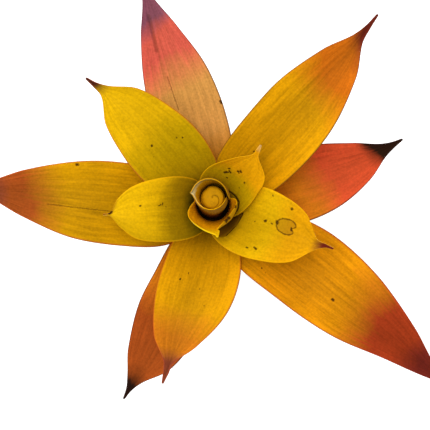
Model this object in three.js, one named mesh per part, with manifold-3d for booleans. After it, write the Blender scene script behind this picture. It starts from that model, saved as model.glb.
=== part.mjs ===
import * as THREE from 'three';
import { mergeVertices } from 'three/addons/utils/BufferGeometryUtils.js';
import Module from 'manifold-3d';

// A guzmania grown in a moss ball. Millimetres, +Z up, with the origin at the
// middle of the flat spot that the ball rests on. The plant has one stem with
// strap leaves at its crown and a star of coloured bracts at its top.

// Ball of soil wrapped in moss
const BALL_RADIUS = 42;
const REST_RADIUS = 16;
const BALL_CENTRE_Z = Math.sqrt(BALL_RADIUS ** 2 - REST_RADIUS ** 2);
const MOSS_THICKNESS = 8;
const MOSS_LUMP = 0.9;
const COLLAR_RADIUS = 14;
const BALL_SIDES = 32;
const BALL_ROWS = 12;

// Stem: the root stock stands in a plain hole in the soil
const ROOT_HOLE_RADIUS = 9.3;
const ROOT_HOLE_Z = 52;
const CLEARANCE = 0.3;
const CROWN_TOP_Z = 92;
const HEAD_BASE_Z = 135;
const HEAD_CENTRE = [-5, -6];
const STEM_SIDES = 16;
// Heights and radii up the root stock, crown and scape
const STOCK_PROFILE = [
  [ROOT_HOLE_Z + CLEARANCE, 6.5],
  [56, 8.2],
  [62, 9],
  [76, 9],
  [79.5, 8.2],
  [83.5, 7.8],
  [85, 6.8],
  [89, 6.4],
  [90.5, 5.4],
  [95, 5],
  [104, 4.6],
  [118, 4.6],
];
// Heights over the head's base, and radii, of the steps that the bracts sit on
const HEAD_PROFILE = [
  [-6, 5],
  [-1, 9.2],
  [2, 10.2],
  [18.5, 10.2],
  [20.5, 9.2],
  [24.5, 9],
  [25.5, 8],
  [27.5, 7.8],
  [28.5, 6.7],
  [30.5, 6.5],
  [31.2, 5],
  [33, 4.7],
  [34.5, 3.2],
];

// Twine: each turn is a tilt from level and the azimuth of its high side
const TWINE_RADIUS = 0.9;
const TWINE_SIDES = 5;
const TWINE_STEPS = 32;
const TWINE_LIFT = 0.6;
const TWINE_TURNS = [
  [8, 20],
  [34, 75],
  [36, 200],
  [52, 140],
  [52, 300],
];
const KNOT_RADIUS = 2.3;
const KNOT_AZIMUTH = -62;
const KNOT_HEIGHT_ANGLE = 14;
const TAIL_ANGLES = [12, 18, 25, 33];

// Blades: thickness at the rib and at the edge, and how rows crowd to the tip
const RIB_THICKNESS = 1;
const EDGE_THICKNESS = 0.7;
const TIP_HALF_WIDTH = 0.45;
const MIN_ARC_RADIUS = 0.9;
const TIP_CROWDING = 1.4;
const RIB_STEPS = 24;

// Distances along a blade, from 0 at the base to 1 at the tip, where its half
// widths are given, unless it has its own; the last station is the tip itself.
const STATIONS = [0, 0.15, 0.35, 0.55, 0.75, 0.87, 0.94, 1];

// Each bract: azimuth of its base and heading, height of its base above the head's
// base, seat (base to stem axis), length, rise of the rib above level and curl (half
// angle of the cross-section's arc) at base, middle and tip, sway of the heading
// towards the tip, and half widths along the arc, left and right as seen from the
// stem. A rolled bract has a roll, the least radius of its arc, a lean, how far its
// tip is carried sideways, and a flare, how far the last of the tip turns out.
const BRACTS = [
  {
    azimuth: 107, above: 4.5, seat: 11, length: 109, sway: 2,
    rise: [50, 12, -8], curl: [50, 24, 40],
    left: [9.5, 12, 17, 14.5, 9, 4, 1.8],
    right: [9.5, 17.5, 19.4, 17, 9, 3.7, 1.6],
  },
  {
    azimuth: 47, above: 15.5, seat: 11, length: 109.5, sway: 6.2,
    rise: [55, 16, 2], curl: [50, 26, 50],
    left: [9.5, 15.3, 17, 15.6, 9.6, 3.8, 1.4],
    right: [9.5, 16, 18.7, 17.2, 10, 2.6, 1.1],
  },
  {
    azimuth: 14.5, above: 2, seat: 11, length: 92.5, sway: 15,
    rise: [50, 12, -5], curl: [50, 24, 40],
    left: [9.5, 14, 15.5, 15.3, 9, 3.8, 1.6],
    right: [9.5, 16.5, 19.3, 18.2, 11.3, 4.5, 1.8],
  },
  {
    azimuth: -37.5, above: 10, seat: 11, length: 138.5, sway: 1,
    rise: [50, 7, -12], curl: [50, 24, 40],
    left: [9.5, 17.5, 23.4, 20.2, 11.6, 5, 2.2],
    right: [9.5, 16, 16.8, 15, 8.1, 4.5, 2.2],
  },
  {
    azimuth: -112, above: 0, seat: 11, length: 100, sway: -9,
    rise: [48, 8, -10], curl: [50, 24, 40],
    left: [9.5, 15, 18, 18, 13, 4.5, 1.4],
    right: [9.5, 13, 14.5, 15, 10.5, 4.9, 1.8],
  },
  {
    azimuth: -104.5, above: 14, seat: 11, length: 82, sway: -4,
    rise: [55, 18, -5], curl: [50, 28, 60],
    left: [9.5, 18, 21.5, 19.3, 10.8, 2.2, 1.1],
    right: [9.5, 14, 16, 15.5, 11, 3.3, 1.6],
  },
  {
    azimuth: 176, above: 8.5, seat: 11, length: 112, sway: 0,
    rise: [50, 10, -8], curl: [50, 24, 40],
    left: [9.5, 21.5, 23, 20, 11.5, 5.3, 2.4],
    right: [9.5, 15, 17.5, 16, 10.5, 5.4, 2.6],
  },
  {
    azimuth: 131, above: 18, seat: 11, length: 78.5, sway: 13,
    rise: [60, 24, 5], curl: [55, 28, 55],
    left: [10.5, 15, 17.3, 16, 11.2, 2.6, 1.2],
    right: [10.5, 16, 18, 16.1, 11.7, 4.2, 1.4],
  },
  {
    azimuth: 187, above: 21, seat: 10.5, length: 54, sway: -5,
    rise: [82, 40, -10], curl: [78, 34, 35],
    left: [13.5, 14.5, 15.5, 14.5, 12, 6, 1],
    right: [13.5, 15, 16, 15, 12, 7, 1],
  },
  {
    azimuth: -21, above: 23.5, seat: 10, length: 62, sway: 2,
    rise: [82, 36, -6], curl: [78, 34, 50],
    left: [13.5, 16, 16.5, 15.5, 11, 2, 1],
    right: [13.5, 16.5, 18, 17, 12.5, 4, 1],
  },
  {
    azimuth: 44, above: 26, seat: 9, length: 40, sway: 21,
    rise: [85, 50, 16], curl: [82, 40, 45],
    left: [12.5, 15, 15.5, 13.5, 7.5, 1.5, 1],
    right: [12.5, 13.5, 13, 11.5, 9.5, 2, 1],
  },
  {
    azimuth: -84, above: 29, seat: 8, length: 38, sway: 0, columns: 12,
    rise: [89, 87, 60], curl: [140, 128, 36], lean: [0, 0], flare: [0.5, -1],
    stations: [0, 0.2, 0.45, 0.65, 0.78, 0.87, 0.93, 0.97, 1],
    left: [19, 19.5, 18.5, 15.5, 15, 1.5, 1.5, 1],
    right: [19, 19.5, 18.5, 15.5, 15, 13.5, 7.5, 1],
  },
  {
    azimuth: 178, above: 32, seat: 6, length: 50, sway: 0, columns: 14,
    rise: [89, 95, 84], curl: [150, 200, 200], lean: [-2.5, 3], flare: [-1.5, 0.5], roll: 6,
    stations: [0, 0.3, 0.6, 0.78, 0.86, 0.91, 0.95, 0.98, 1],
    left: [16, 16.5, 17, 17.5, 17.5, 15.5, 4, 1.5],
    right: [16, 16.5, 17, 17.5, 17.5, 17, 13, 2],
  },
];

// Green strap leaves in three whorls round the crown, each leaf an azimuth and a
// length, with the half widths as shares of the widest
const LEAF_WHORLS = [
  {
    base: 80.5, seat: 9.1, half: 10.5, rise: [48, 12, -38],
    leaves: [[178, 103], [106, 100], [17, 86], [-41, 116], [-108, 94]],
  },
  {
    base: 86, seat: 7.7, half: 9.5, rise: [60, 24, -26],
    leaves: [[52, 100], [136, 84], [-120, 80], [-4, 66]],
  },
  {
    base: 91.5, seat: 6.3, half: 8, rise: [70, 40, -8],
    leaves: [[168, 66], [-50, 64], [32, 66]],
  },
];
const LEAF_PLAN = [0.36, 0.54, 0.86, 1, 0.86, 0.58, 0.32];
const LEAF_CURL = [40, 26, 30];

// Small sheathing bracts up the scape: azimuth, height of the base, length
const SCAPE_BRACTS = [
  [60, 97, 26],
  [200, 105, 25],
  [-38, 113, 22],
];
const SCAPE_SEAT = 6.1;
const SCAPE_PLAN = [5.2, 6, 6.2, 5.4, 3.4, 1.8, 0.9];
const SCAPE_RISE = [76, 70, 52];
const SCAPE_CURL = [62, 56, 40];

// Rolled bud in the middle of the head: its foot is a little off the stem's axis, and
// it leans inside the roll round it
const BUD_BASE_Z = HEAD_BASE_Z + 34.8;
const BUD_TOP_Z = HEAD_BASE_Z + 75;
const BUD_RADIUS = 4.35;
const BUD_FOOT = [-0.25, 0.5];
const BUD_LEAN = [0.18, 1.63];
const BUD_LAP = 0.08;
const BUD_SIDES = 20;
const BUD_PROFILE = [
  [0, 0.7],
  [0.1, 0.86],
  [0.35, 0.95],
  [0.55, 1],
  [0.75, 1],
  [0.93, 1],
  [0.98, 0.92],
  [1, 0.72],
];

const wasm = await Module();
wasm.setup();

const radians = THREE.MathUtils.degToRad;

// Colours are sRGB
function finish(colour, roughness) {
  return new THREE.MeshStandardMaterial({ color: colour, roughness, metalness: 0 });
}

const MOSS = finish(0x5c7030, 0.95);
const SOIL = finish(0x4a3626, 0.95);
const JUTE = finish(0xa98756, 0.85);
const GREEN_LEAF = finish(0x4f7a2b, 0.42);
const GREEN_STEM = finish(0x7c8f35, 0.5);
const OUTER_BRACT = finish(0xd9642a, 0.38);
const INNER_BRACT = finish(0xc9a013, 0.38);

const group = new THREE.Group();

function add(name, geometry, material) {
  const mesh = new THREE.Mesh(geometry, material);
  mesh.name = name;
  group.add(mesh);
}

// Closed geometry with shared vertices, from any closed three.js geometry
function merged(geometry) {
  geometry.deleteAttribute('normal');
  geometry.deleteAttribute('uv');
  return mergeVertices(geometry, 1e-4);
}

function indexed(points, triangles) {
  const geometry = new THREE.BufferGeometry();
  geometry.setAttribute('position', new THREE.Float32BufferAttribute(points.flat(), 3));
  geometry.setIndex(triangles.flat());
  return geometry;
}

function toSolid(geometry) {
  return new wasm.Manifold(new wasm.Mesh({
    numProp: 3,
    vertProperties: new Float32Array(geometry.attributes.position.array),
    triVerts: new Uint32Array(geometry.index.array),
  }));
}

function fromSolid(solid) {
  const { vertProperties, triVerts } = solid.getMesh();
  const geometry = new THREE.BufferGeometry();
  geometry.setAttribute('position', new THREE.BufferAttribute(vertProperties, 3));
  geometry.setIndex(new THREE.BufferAttribute(triVerts, 1));
  return geometry;
}

// Value at s of the parabola through three values, at 0, 0.5 and 1
function parabola([start, middle, end], s) {
  return start * (1 - s) * (1 - 2 * s) + 4 * middle * s * (1 - s) + end * s * (2 * s - 1);
}

// Cubic Hermite curve through the values at the stations, read at s
function throughStations(values, stations, s) {
  const last = stations.length - 1;
  const slope = (k) => {
    const before = Math.max(k - 1, 0);
    const after = Math.min(k + 1, last);
    return (values[after] - values[before]) / (stations[after] - stations[before]);
  };
  let k = 0;
  while (k < last - 1 && s >= stations[k + 1]) k += 1;
  const span = stations[k + 1] - stations[k];
  const q = (s - stations[k]) / span;
  return values[k] * (1 + 2 * q) * (1 - q) ** 2
    + slope(k) * span * q * (1 - q) ** 2
    + values[k + 1] * q * q * (3 - 2 * q)
    - slope(k + 1) * span * q * q * (1 - q);
}

// Stem axis: upright in the crown, leaning to the head's centre, upright again
function axisAt(z) {
  const lean = THREE.MathUtils.smoothstep(z, CROWN_TOP_Z, HEAD_BASE_Z);
  return [HEAD_CENTRE[0] * lean, HEAD_CENTRE[1] * lean];
}

// Directions at s on a blade's rib: along it, to its left, and to its upper side
function ribDirections(blade, s) {
  const rise = radians(parabola(blade.rise, s));
  const heading = radians(blade.azimuth + blade.sway * s * s);
  const along = new THREE.Vector3(
    Math.cos(rise) * Math.cos(heading),
    Math.cos(rise) * Math.sin(heading),
    Math.sin(rise),
  );
  const left = new THREE.Vector3(-Math.sin(heading), Math.cos(heading), 0);
  return { along, left, up: new THREE.Vector3().crossVectors(along, left) };
}

// A blade: circular arcs of leaf, left and right of a rib that is walked in small
// steps, as a closed solid with a top and a bottom face split alike
function bladeGeometry(blade, rows, columns) {
  const [axisX, axisY] = axisAt(blade.base);
  const azimuth = radians(blade.azimuth);
  const point = new THREE.Vector3(
    axisX + blade.seat * Math.cos(azimuth),
    axisY + blade.seat * Math.sin(azimuth),
    blade.base,
  );
  const leftWidths = [...blade.left, TIP_HALF_WIDTH];
  const rightWidths = [...blade.right, TIP_HALF_WIDTH];
  const stations = blade.stations ?? STATIONS;
  const points = [];
  let s = 0;
  for (let row = 0; row <= rows; row += 1) {
    const target = 1 - (1 - row / rows) ** TIP_CROWDING;
    const step = (target - s) / RIB_STEPS;
    for (let k = 0; k < RIB_STEPS; k += 1) {
      point.addScaledVector(ribDirections(blade, s + (k + 0.5) * step).along, blade.length * step);
    }
    s = target;
    const { left, up } = ribDirections(blade, s);
    const leaning = new THREE.Vector3(...(blade.lean ?? [0, 0]), 0).multiplyScalar(s);
    leaning.addScaledVector(new THREE.Vector3(...(blade.flare ?? [0, 0]), 0), s ** 10);
    for (let column = 0; column <= columns; column += 1) {
      const t = 2 * column / columns - 1;
      const width = throughStations(t > 0 ? leftWidths : rightWidths, stations, s);
      const leastRadius = blade.roll ?? MIN_ARC_RADIUS;
      const arcRadius = Math.max(width / radians(parabola(blade.curl, s)), leastRadius);
      const angle = width * t / arcRadius;
      const half = (RIB_THICKNESS + (EDGE_THICKNESS - RIB_THICKNESS) * Math.abs(t)) / 2;
      for (const offset of [half, -half]) {
        const place = point.clone().add(leaning);
        place.addScaledVector(left, (arcRadius - offset) * Math.sin(angle));
        place.addScaledVector(up, arcRadius - (arcRadius - offset) * Math.cos(angle));
        points.push(place.toArray());
      }
    }
  }
  const top = (row, column) => 2 * (row * (columns + 1) + column);
  const bottom = (row, column) => top(row, column) + 1;
  const triangles = [];
  const quad = (a, b, c, d) => triangles.push([a, b, c], [a, c, d]);
  for (let row = 0; row < rows; row += 1) {
    for (let column = 0; column < columns; column += 1) {
      quad(top(row, column), top(row + 1, column), top(row + 1, column + 1), top(row, column + 1));
      triangles.push([bottom(row, column), bottom(row + 1, column + 1), bottom(row + 1, column)]);
      triangles.push([bottom(row, column), bottom(row, column + 1), bottom(row + 1, column + 1)]);
    }
    quad(bottom(row, columns), top(row, columns), top(row + 1, columns), bottom(row + 1, columns));
    quad(bottom(row, 0), bottom(row + 1, 0), top(row + 1, 0), top(row, 0));
  }
  for (let column = 0; column < columns; column += 1) {
    quad(bottom(0, column), top(0, column), top(0, column + 1), bottom(0, column + 1));
    quad(bottom(rows, column), bottom(rows, column + 1), top(rows, column + 1), top(rows, column));
  }
  return indexed(points, triangles);
}

// Level rings of given radius, joined upwards and closed at both ends; shape is
// the ring's outline, as a share of the radius, from 0 to 1 round it
function loft(rings, sides, shape = () => 1) {
  const points = [];
  for (const [x, y, z, radius] of rings) {
    for (let side = 0; side < sides; side += 1) {
      const angle = 2 * Math.PI * side / sides;
      const reach = radius * shape(side / sides);
      points.push([x + reach * Math.cos(angle), y + reach * Math.sin(angle), z]);
    }
  }
  const triangles = [];
  for (let ring = 0; ring < rings.length - 1; ring += 1) {
    for (let side = 0; side < sides; side += 1) {
      const next = (side + 1) % sides;
      const a = ring * sides + side;
      const b = ring * sides + next;
      triangles.push([a, b, b + sides], [a, b + sides, a + sides]);
    }
  }
  const [low, high] = [rings[0], rings[rings.length - 1]];
  const lowCentre = points.push([low[0], low[1], low[2]]) - 1;
  const highCentre = points.push([high[0], high[1], high[2]]) - 1;
  const lastRing = (rings.length - 1) * sides;
  for (let side = 0; side < sides; side += 1) {
    const next = (side + 1) % sides;
    triangles.push([lowCentre, next, side]);
    triangles.push([highCentre, lastRing + side, lastRing + next]);
  }
  return indexed(points, triangles);
}

// Height of the moss over the plain ball in a direction: low rolling lumps
function mossLump(direction) {
  const { x, y, z } = direction;
  const broad = Math.sin(5 * x + 1.1) * Math.sin(6 * y + 0.4) * Math.sin(5 * z + 2);
  const fine = Math.sin(11 * x - 4 * z) * Math.sin(10 * y + 7 * z);
  return MOSS_LUMP * (0.75 * broad + 0.25 * fine);
}

// Points of a circle about the ball's centre, from one polar angle to another, both
// counted from straight down; a point straight down lies on the axis exactly
function ballArc(radius, from, to, count) {
  const arc = [];
  for (let k = 0; k <= count; k += 1) {
    const polar = from + (to - from) * k / count;
    const reach = polar === 0 ? 0 : radius * Math.sin(polar);
    arc.push(new THREE.Vector2(reach, BALL_CENTRE_Z - radius * Math.cos(polar)));
  }
  return arc;
}

// A solid of revolution about Z, from a profile of reach and height
function turned(profile) {
  const geometry = merged(new THREE.LatheGeometry(profile, BALL_SIDES));
  geometry.rotateX(Math.PI / 2);
  return geometry;
}

// Polar angle at which a ball of given radius is cut by the collar
function collarAngle(radius) {
  return Math.PI - Math.asin(COLLAR_RADIUS / radius);
}

// The moss: a shell open at the top round the plant, flat where it rests
function mossWrap() {
  const innerRadius = BALL_RADIUS - MOSS_THICKNESS;
  const restAngle = Math.asin(REST_RADIUS / BALL_RADIUS);
  const outer = ballArc(BALL_RADIUS, restAngle, collarAngle(BALL_RADIUS), BALL_ROWS);
  const inner = ballArc(innerRadius, collarAngle(innerRadius), 0, BALL_ROWS);
  const geometry = turned([new THREE.Vector2(0, 0), ...outer, ...inner]);
  const position = geometry.attributes.position;
  const place = new THREE.Vector3();
  const centre = new THREE.Vector3(0, 0, BALL_CENTRE_Z);
  for (let k = 0; k < position.count; k += 1) {
    place.fromBufferAttribute(position, k).sub(centre);
    const reach = place.length();
    const skin = THREE.MathUtils.smoothstep(reach, innerRadius + 1, BALL_RADIUS - 1);
    const clearOfRest = THREE.MathUtils.smoothstep(place.z + BALL_CENTRE_Z, 0, 6);
    const direction = place.clone().normalize();
    place.addScaledVector(direction, mossLump(direction) * skin * clearOfRest).add(centre);
    position.setXYZ(k, place.x, place.y, place.z);
  }
  return geometry;
}

// The soil: a ball inside the moss, with a plain hole for the root stock
function soilBall() {
  const radius = BALL_RADIUS - MOSS_THICKNESS - CLEARANCE;
  const collar = collarAngle(BALL_RADIUS - MOSS_THICKNESS);
  const skin = ballArc(radius, 0, collar, BALL_ROWS);
  const brim = ballArc(radius, collar, Math.PI - Math.asin(ROOT_HOLE_RADIUS / radius), 1);
  const hole = [
    new THREE.Vector2(ROOT_HOLE_RADIUS, ROOT_HOLE_Z),
    new THREE.Vector2(0, ROOT_HOLE_Z),
  ];
  return turned([...skin, brim[1], ...hole]);
}

// Place on the moss, lifted to the twine's middle, in a direction from the centre
function overMoss(direction) {
  const reach = BALL_RADIUS + mossLump(direction) + TWINE_LIFT + TWINE_RADIUS;
  return direction.clone().multiplyScalar(reach).add(new THREE.Vector3(0, 0, BALL_CENTRE_Z));
}

function directionAt(azimuth, heightAngle) {
  return new THREE.Vector3().setFromSphericalCoords(1, radians(90 - heightAngle), 0)
    .applyAxisAngle(new THREE.Vector3(1, 0, 0), Math.PI / 2)
    .applyAxisAngle(new THREE.Vector3(0, 0, 1), radians(azimuth + 90));
}

// One closed turn of twine: a great circle of the ball tilted towards an azimuth
function twineTurn([tilt, azimuth]) {
  const across = new THREE.Vector3(-Math.sin(radians(azimuth)), Math.cos(radians(azimuth)), 0);
  const uphill = directionAt(azimuth, tilt);
  const places = [];
  for (let k = 0; k < TWINE_STEPS / 2; k += 1) {
    const angle = 4 * Math.PI * k / TWINE_STEPS;
    const direction = uphill.clone().multiplyScalar(Math.cos(angle));
    places.push(overMoss(direction.addScaledVector(across, Math.sin(angle))));
  }
  const path = new THREE.CatmullRomCurve3(places, true);
  return toSolid(merged(new THREE.TubeGeometry(path, TWINE_STEPS, TWINE_RADIUS, TWINE_SIDES, true)));
}

// A short free end of twine, lying on the moss and leaving the knot on one side
function twineTail(side) {
  const places = TAIL_ANGLES.map((angle) => overMoss(
    directionAt(KNOT_AZIMUTH + side * angle / 2, KNOT_HEIGHT_ANGLE - angle * 0.8),
  ));
  places.unshift(overMoss(directionAt(KNOT_AZIMUTH, KNOT_HEIGHT_ANGLE)));
  const section = new THREE.Shape(new THREE.Path().absarc(0, 0, TWINE_RADIUS, 0, 2 * Math.PI)
    .getSpacedPoints(TWINE_SIDES));
  return toSolid(merged(new THREE.ExtrudeGeometry(section, {
    steps: 2 * TAIL_ANGLES.length,
    extrudePath: new THREE.CatmullRomCurve3(places),
  })));
}

// The twine: all turns, the knot and its two ends, grown into one body
function twine() {
  const knotPlace = overMoss(directionAt(KNOT_AZIMUTH, KNOT_HEIGHT_ANGLE));
  const knot = merged(new THREE.SphereGeometry(KNOT_RADIUS, 10, 8));
  const outward = knotPlace.clone().sub(new THREE.Vector3(0, 0, BALL_CENTRE_Z)).normalize();
  knotPlace.addScaledVector(outward, KNOT_RADIUS - TWINE_RADIUS);
  knot.translate(knotPlace.x, knotPlace.y, knotPlace.z);
  let solid = toSolid(knot);
  for (const turn of TWINE_TURNS) solid = solid.add(twineTurn(turn));
  for (const side of [-1, 1]) solid = solid.add(twineTail(side));
  return fromSolid(solid);
}

function stem() {
  const head = HEAD_PROFILE.map(([above, radius]) => [HEAD_BASE_Z + above, radius]);
  const rings = [...STOCK_PROFILE, ...head].map(([z, radius]) => [...axisAt(z), z, radius]);
  return loft(rings, STEM_SIDES);
}

// The bud: a young bract rolled on itself, its outer edge lapped over the turn below
function bud() {
  const height = BUD_TOP_Z - BUD_BASE_Z;
  const rings = BUD_PROFILE.map(([share, size]) => [
    HEAD_CENTRE[0] + BUD_FOOT[0] + BUD_LEAN[0] * share,
    HEAD_CENTRE[1] + BUD_FOOT[1] + BUD_LEAN[1] * share,
    BUD_BASE_Z + height * share,
    BUD_RADIUS * size,
  ]);
  return loft(rings, BUD_SIDES, (turn) => 1 - BUD_LAP * turn);
}

const numbered = (kind, k) => `${kind}_${String(k + 1).padStart(2, '0')}`;

add('moss_wrap', mossWrap(), MOSS);
add('soil_ball', soilBall(), SOIL);
add('twine', twine(), JUTE);
add('stem', stem(), GREEN_STEM);

let leafCount = 0;
for (const whorl of LEAF_WHORLS) {
  const widths = LEAF_PLAN.map((share) => share * whorl.half);
  for (const [azimuth, length] of whorl.leaves) {
    const blade = { ...whorl, azimuth, length, sway: 0, curl: LEAF_CURL, left: widths, right: widths };
    add(numbered('leaf', leafCount), bladeGeometry(blade, 10, 4), GREEN_LEAF);
    leafCount += 1;
  }
}

SCAPE_BRACTS.forEach(([azimuth, base, length], k) => {
  const blade = {
    azimuth, base, length, seat: SCAPE_SEAT, sway: 0,
    rise: SCAPE_RISE, curl: SCAPE_CURL, left: SCAPE_PLAN, right: SCAPE_PLAN,
  };
  add(numbered('scape_bract', k), bladeGeometry(blade, 7, 4), GREEN_STEM);
});

BRACTS.forEach((bract, k) => {
  const blade = { ...bract, base: HEAD_BASE_Z + bract.above };
  const material = k < 7 ? OUTER_BRACT : INNER_BRACT;
  add(numbered('bract', k), bladeGeometry(blade, 13, bract.columns ?? 6), material);
});
add('bud', bud(), INNER_BRACT);

export default group;
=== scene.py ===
import bpy
import numpy as np
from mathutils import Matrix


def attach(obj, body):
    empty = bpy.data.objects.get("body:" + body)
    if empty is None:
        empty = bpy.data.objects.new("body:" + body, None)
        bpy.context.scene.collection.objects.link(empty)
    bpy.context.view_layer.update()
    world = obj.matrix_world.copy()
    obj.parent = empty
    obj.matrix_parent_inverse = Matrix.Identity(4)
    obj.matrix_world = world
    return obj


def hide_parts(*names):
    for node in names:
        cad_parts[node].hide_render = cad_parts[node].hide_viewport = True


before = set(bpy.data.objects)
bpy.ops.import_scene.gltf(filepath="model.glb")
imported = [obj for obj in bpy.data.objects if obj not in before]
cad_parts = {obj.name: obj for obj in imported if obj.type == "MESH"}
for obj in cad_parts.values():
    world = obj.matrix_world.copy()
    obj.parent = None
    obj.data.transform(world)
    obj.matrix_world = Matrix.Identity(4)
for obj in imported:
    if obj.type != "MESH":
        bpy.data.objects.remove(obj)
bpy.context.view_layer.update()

# The moss: one layer of living sheet moss, about 8 mm thick, pressed damp round the soil and left open at
# the top for the plant. The mat is lumpy and brown-green, and its feathery shoots stand out of it and are
# pulled down where the string runs. Nothing but the string holds it on.
BALL_RADIUS = 42
REST_RADIUS = 16
BALL_CENTRE_Z = np.sqrt(BALL_RADIUS**2 - REST_RADIUS**2)
MOSS_THICKNESS = 8
MOSS_LUMP = 0.9
COLLAR_RADIUS = 14
MAT_SIDES = 144
MAT_ROWS = 76
MAT_RIPPLES = [(0.55, 5, 3), (0.3, 2.2, 4)]
LIP_BULGE = 2.2
SHOOT_COUNT = 3400
SHOOT_LENGTH = (3.2, 6.2)
SHOOT_LEAFLETS = 10
STALK_THICKNESS = 0.035
TWINE_RADIUS = 0.9
TWINE_LIFT = 0.6
TWINE_TURNS = [(8, 20), (34, 75), (36, 200), (52, 140), (52, 300)]


def linear(colour):
    """Linear colour from an sRGB hex value: the sRGB curve undone, channel by channel."""
    channels = np.array([int(colour[k:k + 2], 16) / 255 for k in (0, 2, 4)])
    low, high = channels / 12.92, ((channels + 0.055) / 1.055) ** 2.4
    return (*np.where(channels <= 0.04045, low, high), 1)


def node(tree, kind, inputs=None, stops=(), **settings):
    """Adds a shader node with its settings, its inputs as links or values and the stops of a colour ramp,
    and returns its outputs."""
    made = tree.nodes.new("ShaderNode" + kind)
    for name, value in settings.items():
        setattr(made, name, value)
    for name, value in (inputs or {}).items():
        if isinstance(value, bpy.types.NodeSocket):
            tree.links.new(value, made.inputs[name])
        else:
            made.inputs[name].default_value = value
    for k, (position, colour) in enumerate(stops):
        ramp = made.color_ramp.elements
        stop = ramp[k] if k < 2 else ramp.new(position)
        stop.position = position
        stop.color = linear(colour)
    return made.outputs


def new_material(name):
    """A material still without a shader; returns it with its node tree and the place on its object."""
    material = bpy.data.materials.new(name)
    material.use_nodes = True
    tree = material.node_tree
    tree.nodes.clear()
    return material, tree, node(tree, "TexCoord")["Object"]


def finished(material, surface, relief=None, strength=0, depth=0):
    """The material with its principled shader. surface holds the shader's inputs, and the relief shows as a
    bump of this strength, depth metres high."""
    tree = material.node_tree
    if relief is not None:
        bump = node(tree, "Bump", {"Height": relief, "Strength": strength, "Distance": depth})
        surface["Normal"] = bump[0]
    shader = node(tree, "BsdfPrincipled", {"IOR": 1.45, **surface})
    node(tree, "OutputMaterial", {"Surface": shader[0]})
    return material


def new_object(name, data):
    """A new object in the scene, with its mesh, lamp or camera."""
    made = bpy.data.objects.new(name, data)
    bpy.context.scene.collection.objects.link(made)
    return made


def make_piece(name, points, faces, material, slot, stands_for=(), values=None, plan=None):
    """A smooth mesh piece. points are in mm; faces is a list of arrays, each with one row of corner numbers a
    face; values are kept for each point by name, and plan is a map position for each point."""
    mesh = bpy.data.meshes.new(name)
    corners = np.concatenate([rows.ravel() for rows in faces])
    sizes = np.concatenate([np.full(len(rows), rows.shape[1]) for rows in faces])
    mesh.vertices.add(len(points))
    mesh.vertices.foreach_set("co", (points * 0.001).astype(np.float32).ravel())
    mesh.loops.add(len(corners))
    mesh.loops.foreach_set("vertex_index", corners.astype(np.int32))
    mesh.polygons.add(len(sizes))
    mesh.polygons.foreach_set("loop_start", (np.cumsum(sizes) - sizes).astype(np.int32))
    mesh.polygons.foreach_set("use_smooth", np.ones(len(sizes), bool))
    for key, amounts in (values or {}).items():
        mesh.attributes.new(key, "FLOAT", "POINT").data.foreach_set("value", amounts.astype(np.float32))
    if plan is not None:
        mesh.uv_layers.new(name="Plan").data.foreach_set("uv", plan[corners].astype(np.float32).ravel())
    mesh.update(calc_edges=True)
    mesh.materials.append(material)
    made = new_object(name, mesh)
    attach(made, "root")
    if stands_for:
        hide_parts(*stands_for)


def skin_faces(count, sides, closed=False):
    """Four-sided faces between rings of points that follow each other, and from the last ring back to the
    first if the skin is closed."""
    ring, side = np.meshgrid(np.arange(count if closed else count - 1), np.arange(sides), indexing="ij")
    start, onward, after = ring * sides, (ring + 1) % count * sides, (side + 1) % sides
    return np.stack([start + side, onward + side, onward + after, start + after], -1).reshape(-1, 4)


def closed_rings(rings):
    """Points and faces of a closed skin through rings of points, given as an array (ring, side, xyz), with a
    fan over each end. Sides run clockwise, seen along the rings, so that the faces point outwards."""
    count, sides = rings.shape[:2]
    near, last = count * sides, (count - 1) * sides
    side = np.arange(sides)
    after = (side + 1) % sides
    ends = np.vstack([
        np.stack([side, after, np.full(sides, near)], -1),
        np.stack([last + after, last + side, np.full(sides, near + 1)], -1),
    ])
    points = np.vstack([rings.reshape(-1, 3), rings[0].mean(0), rings[-1].mean(0)])
    return points, [skin_faces(count, sides), ends]


def joined(parts):
    """Several parts as one, each given as points and a list of face arrays: the faces are numbered on."""
    starts = np.cumsum([0] + [len(points) for points, _ in parts])
    faces = [rows + start for (_, lists), start in zip(parts, starts) for rows in lists]
    return np.vstack([points for points, _ in parts]), faces


def unit(vectors):
    """The vectors of an array (vector, xyz), each divided by its length."""
    return vectors / np.linalg.norm(vectors, axis=1, keepdims=True)


def smooth_step(value, low, high):
    """0 below low, 1 above high, and the cubic 3q^2 - 2q^3 of the share q between them."""
    share = np.clip((value - low) / (high - low), 0, 1)
    return share * share * (3 - 2 * share)


def moss_lump(direction):
    """Height of the moss over a plain ball, in mm: a product of long sine waves and one of short ones."""
    x, y, z = np.moveaxis(direction, -1, 0)
    broad = np.sin(5 * x + 1.1) * np.sin(6 * y + 0.4) * np.sin(5 * z + 2)
    fine = np.sin(11 * x - 4 * z) * np.sin(10 * y + 7 * z)
    return MOSS_LUMP * (0.75 * broad + 0.25 * fine)


def ripple(points, length, seed, waves=9):
    """Rolling noise of about -1 to 1: a sum of sine waves in random directions, each about length mm long."""
    draw = np.random.default_rng(seed)
    ways = draw.normal(size=(waves, 3))
    ways *= 2 * np.pi / length / np.linalg.norm(ways, axis=1, keepdims=True)
    return np.sin(points @ ways.T + draw.uniform(0, 2 * np.pi, waves)).sum(-1) / np.sqrt(waves)


def about_axis(radius, azimuth, z, middle=(0, 0)):
    """Places at a radius and an azimuth, in radians, about an upright line: (x + r cos a, y + r sin a, z)."""
    x, y = middle[0] + radius * np.cos(azimuth), middle[1] + radius * np.sin(azimuth)
    return np.stack(np.broadcast_arrays(x, y, z), -1)


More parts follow.
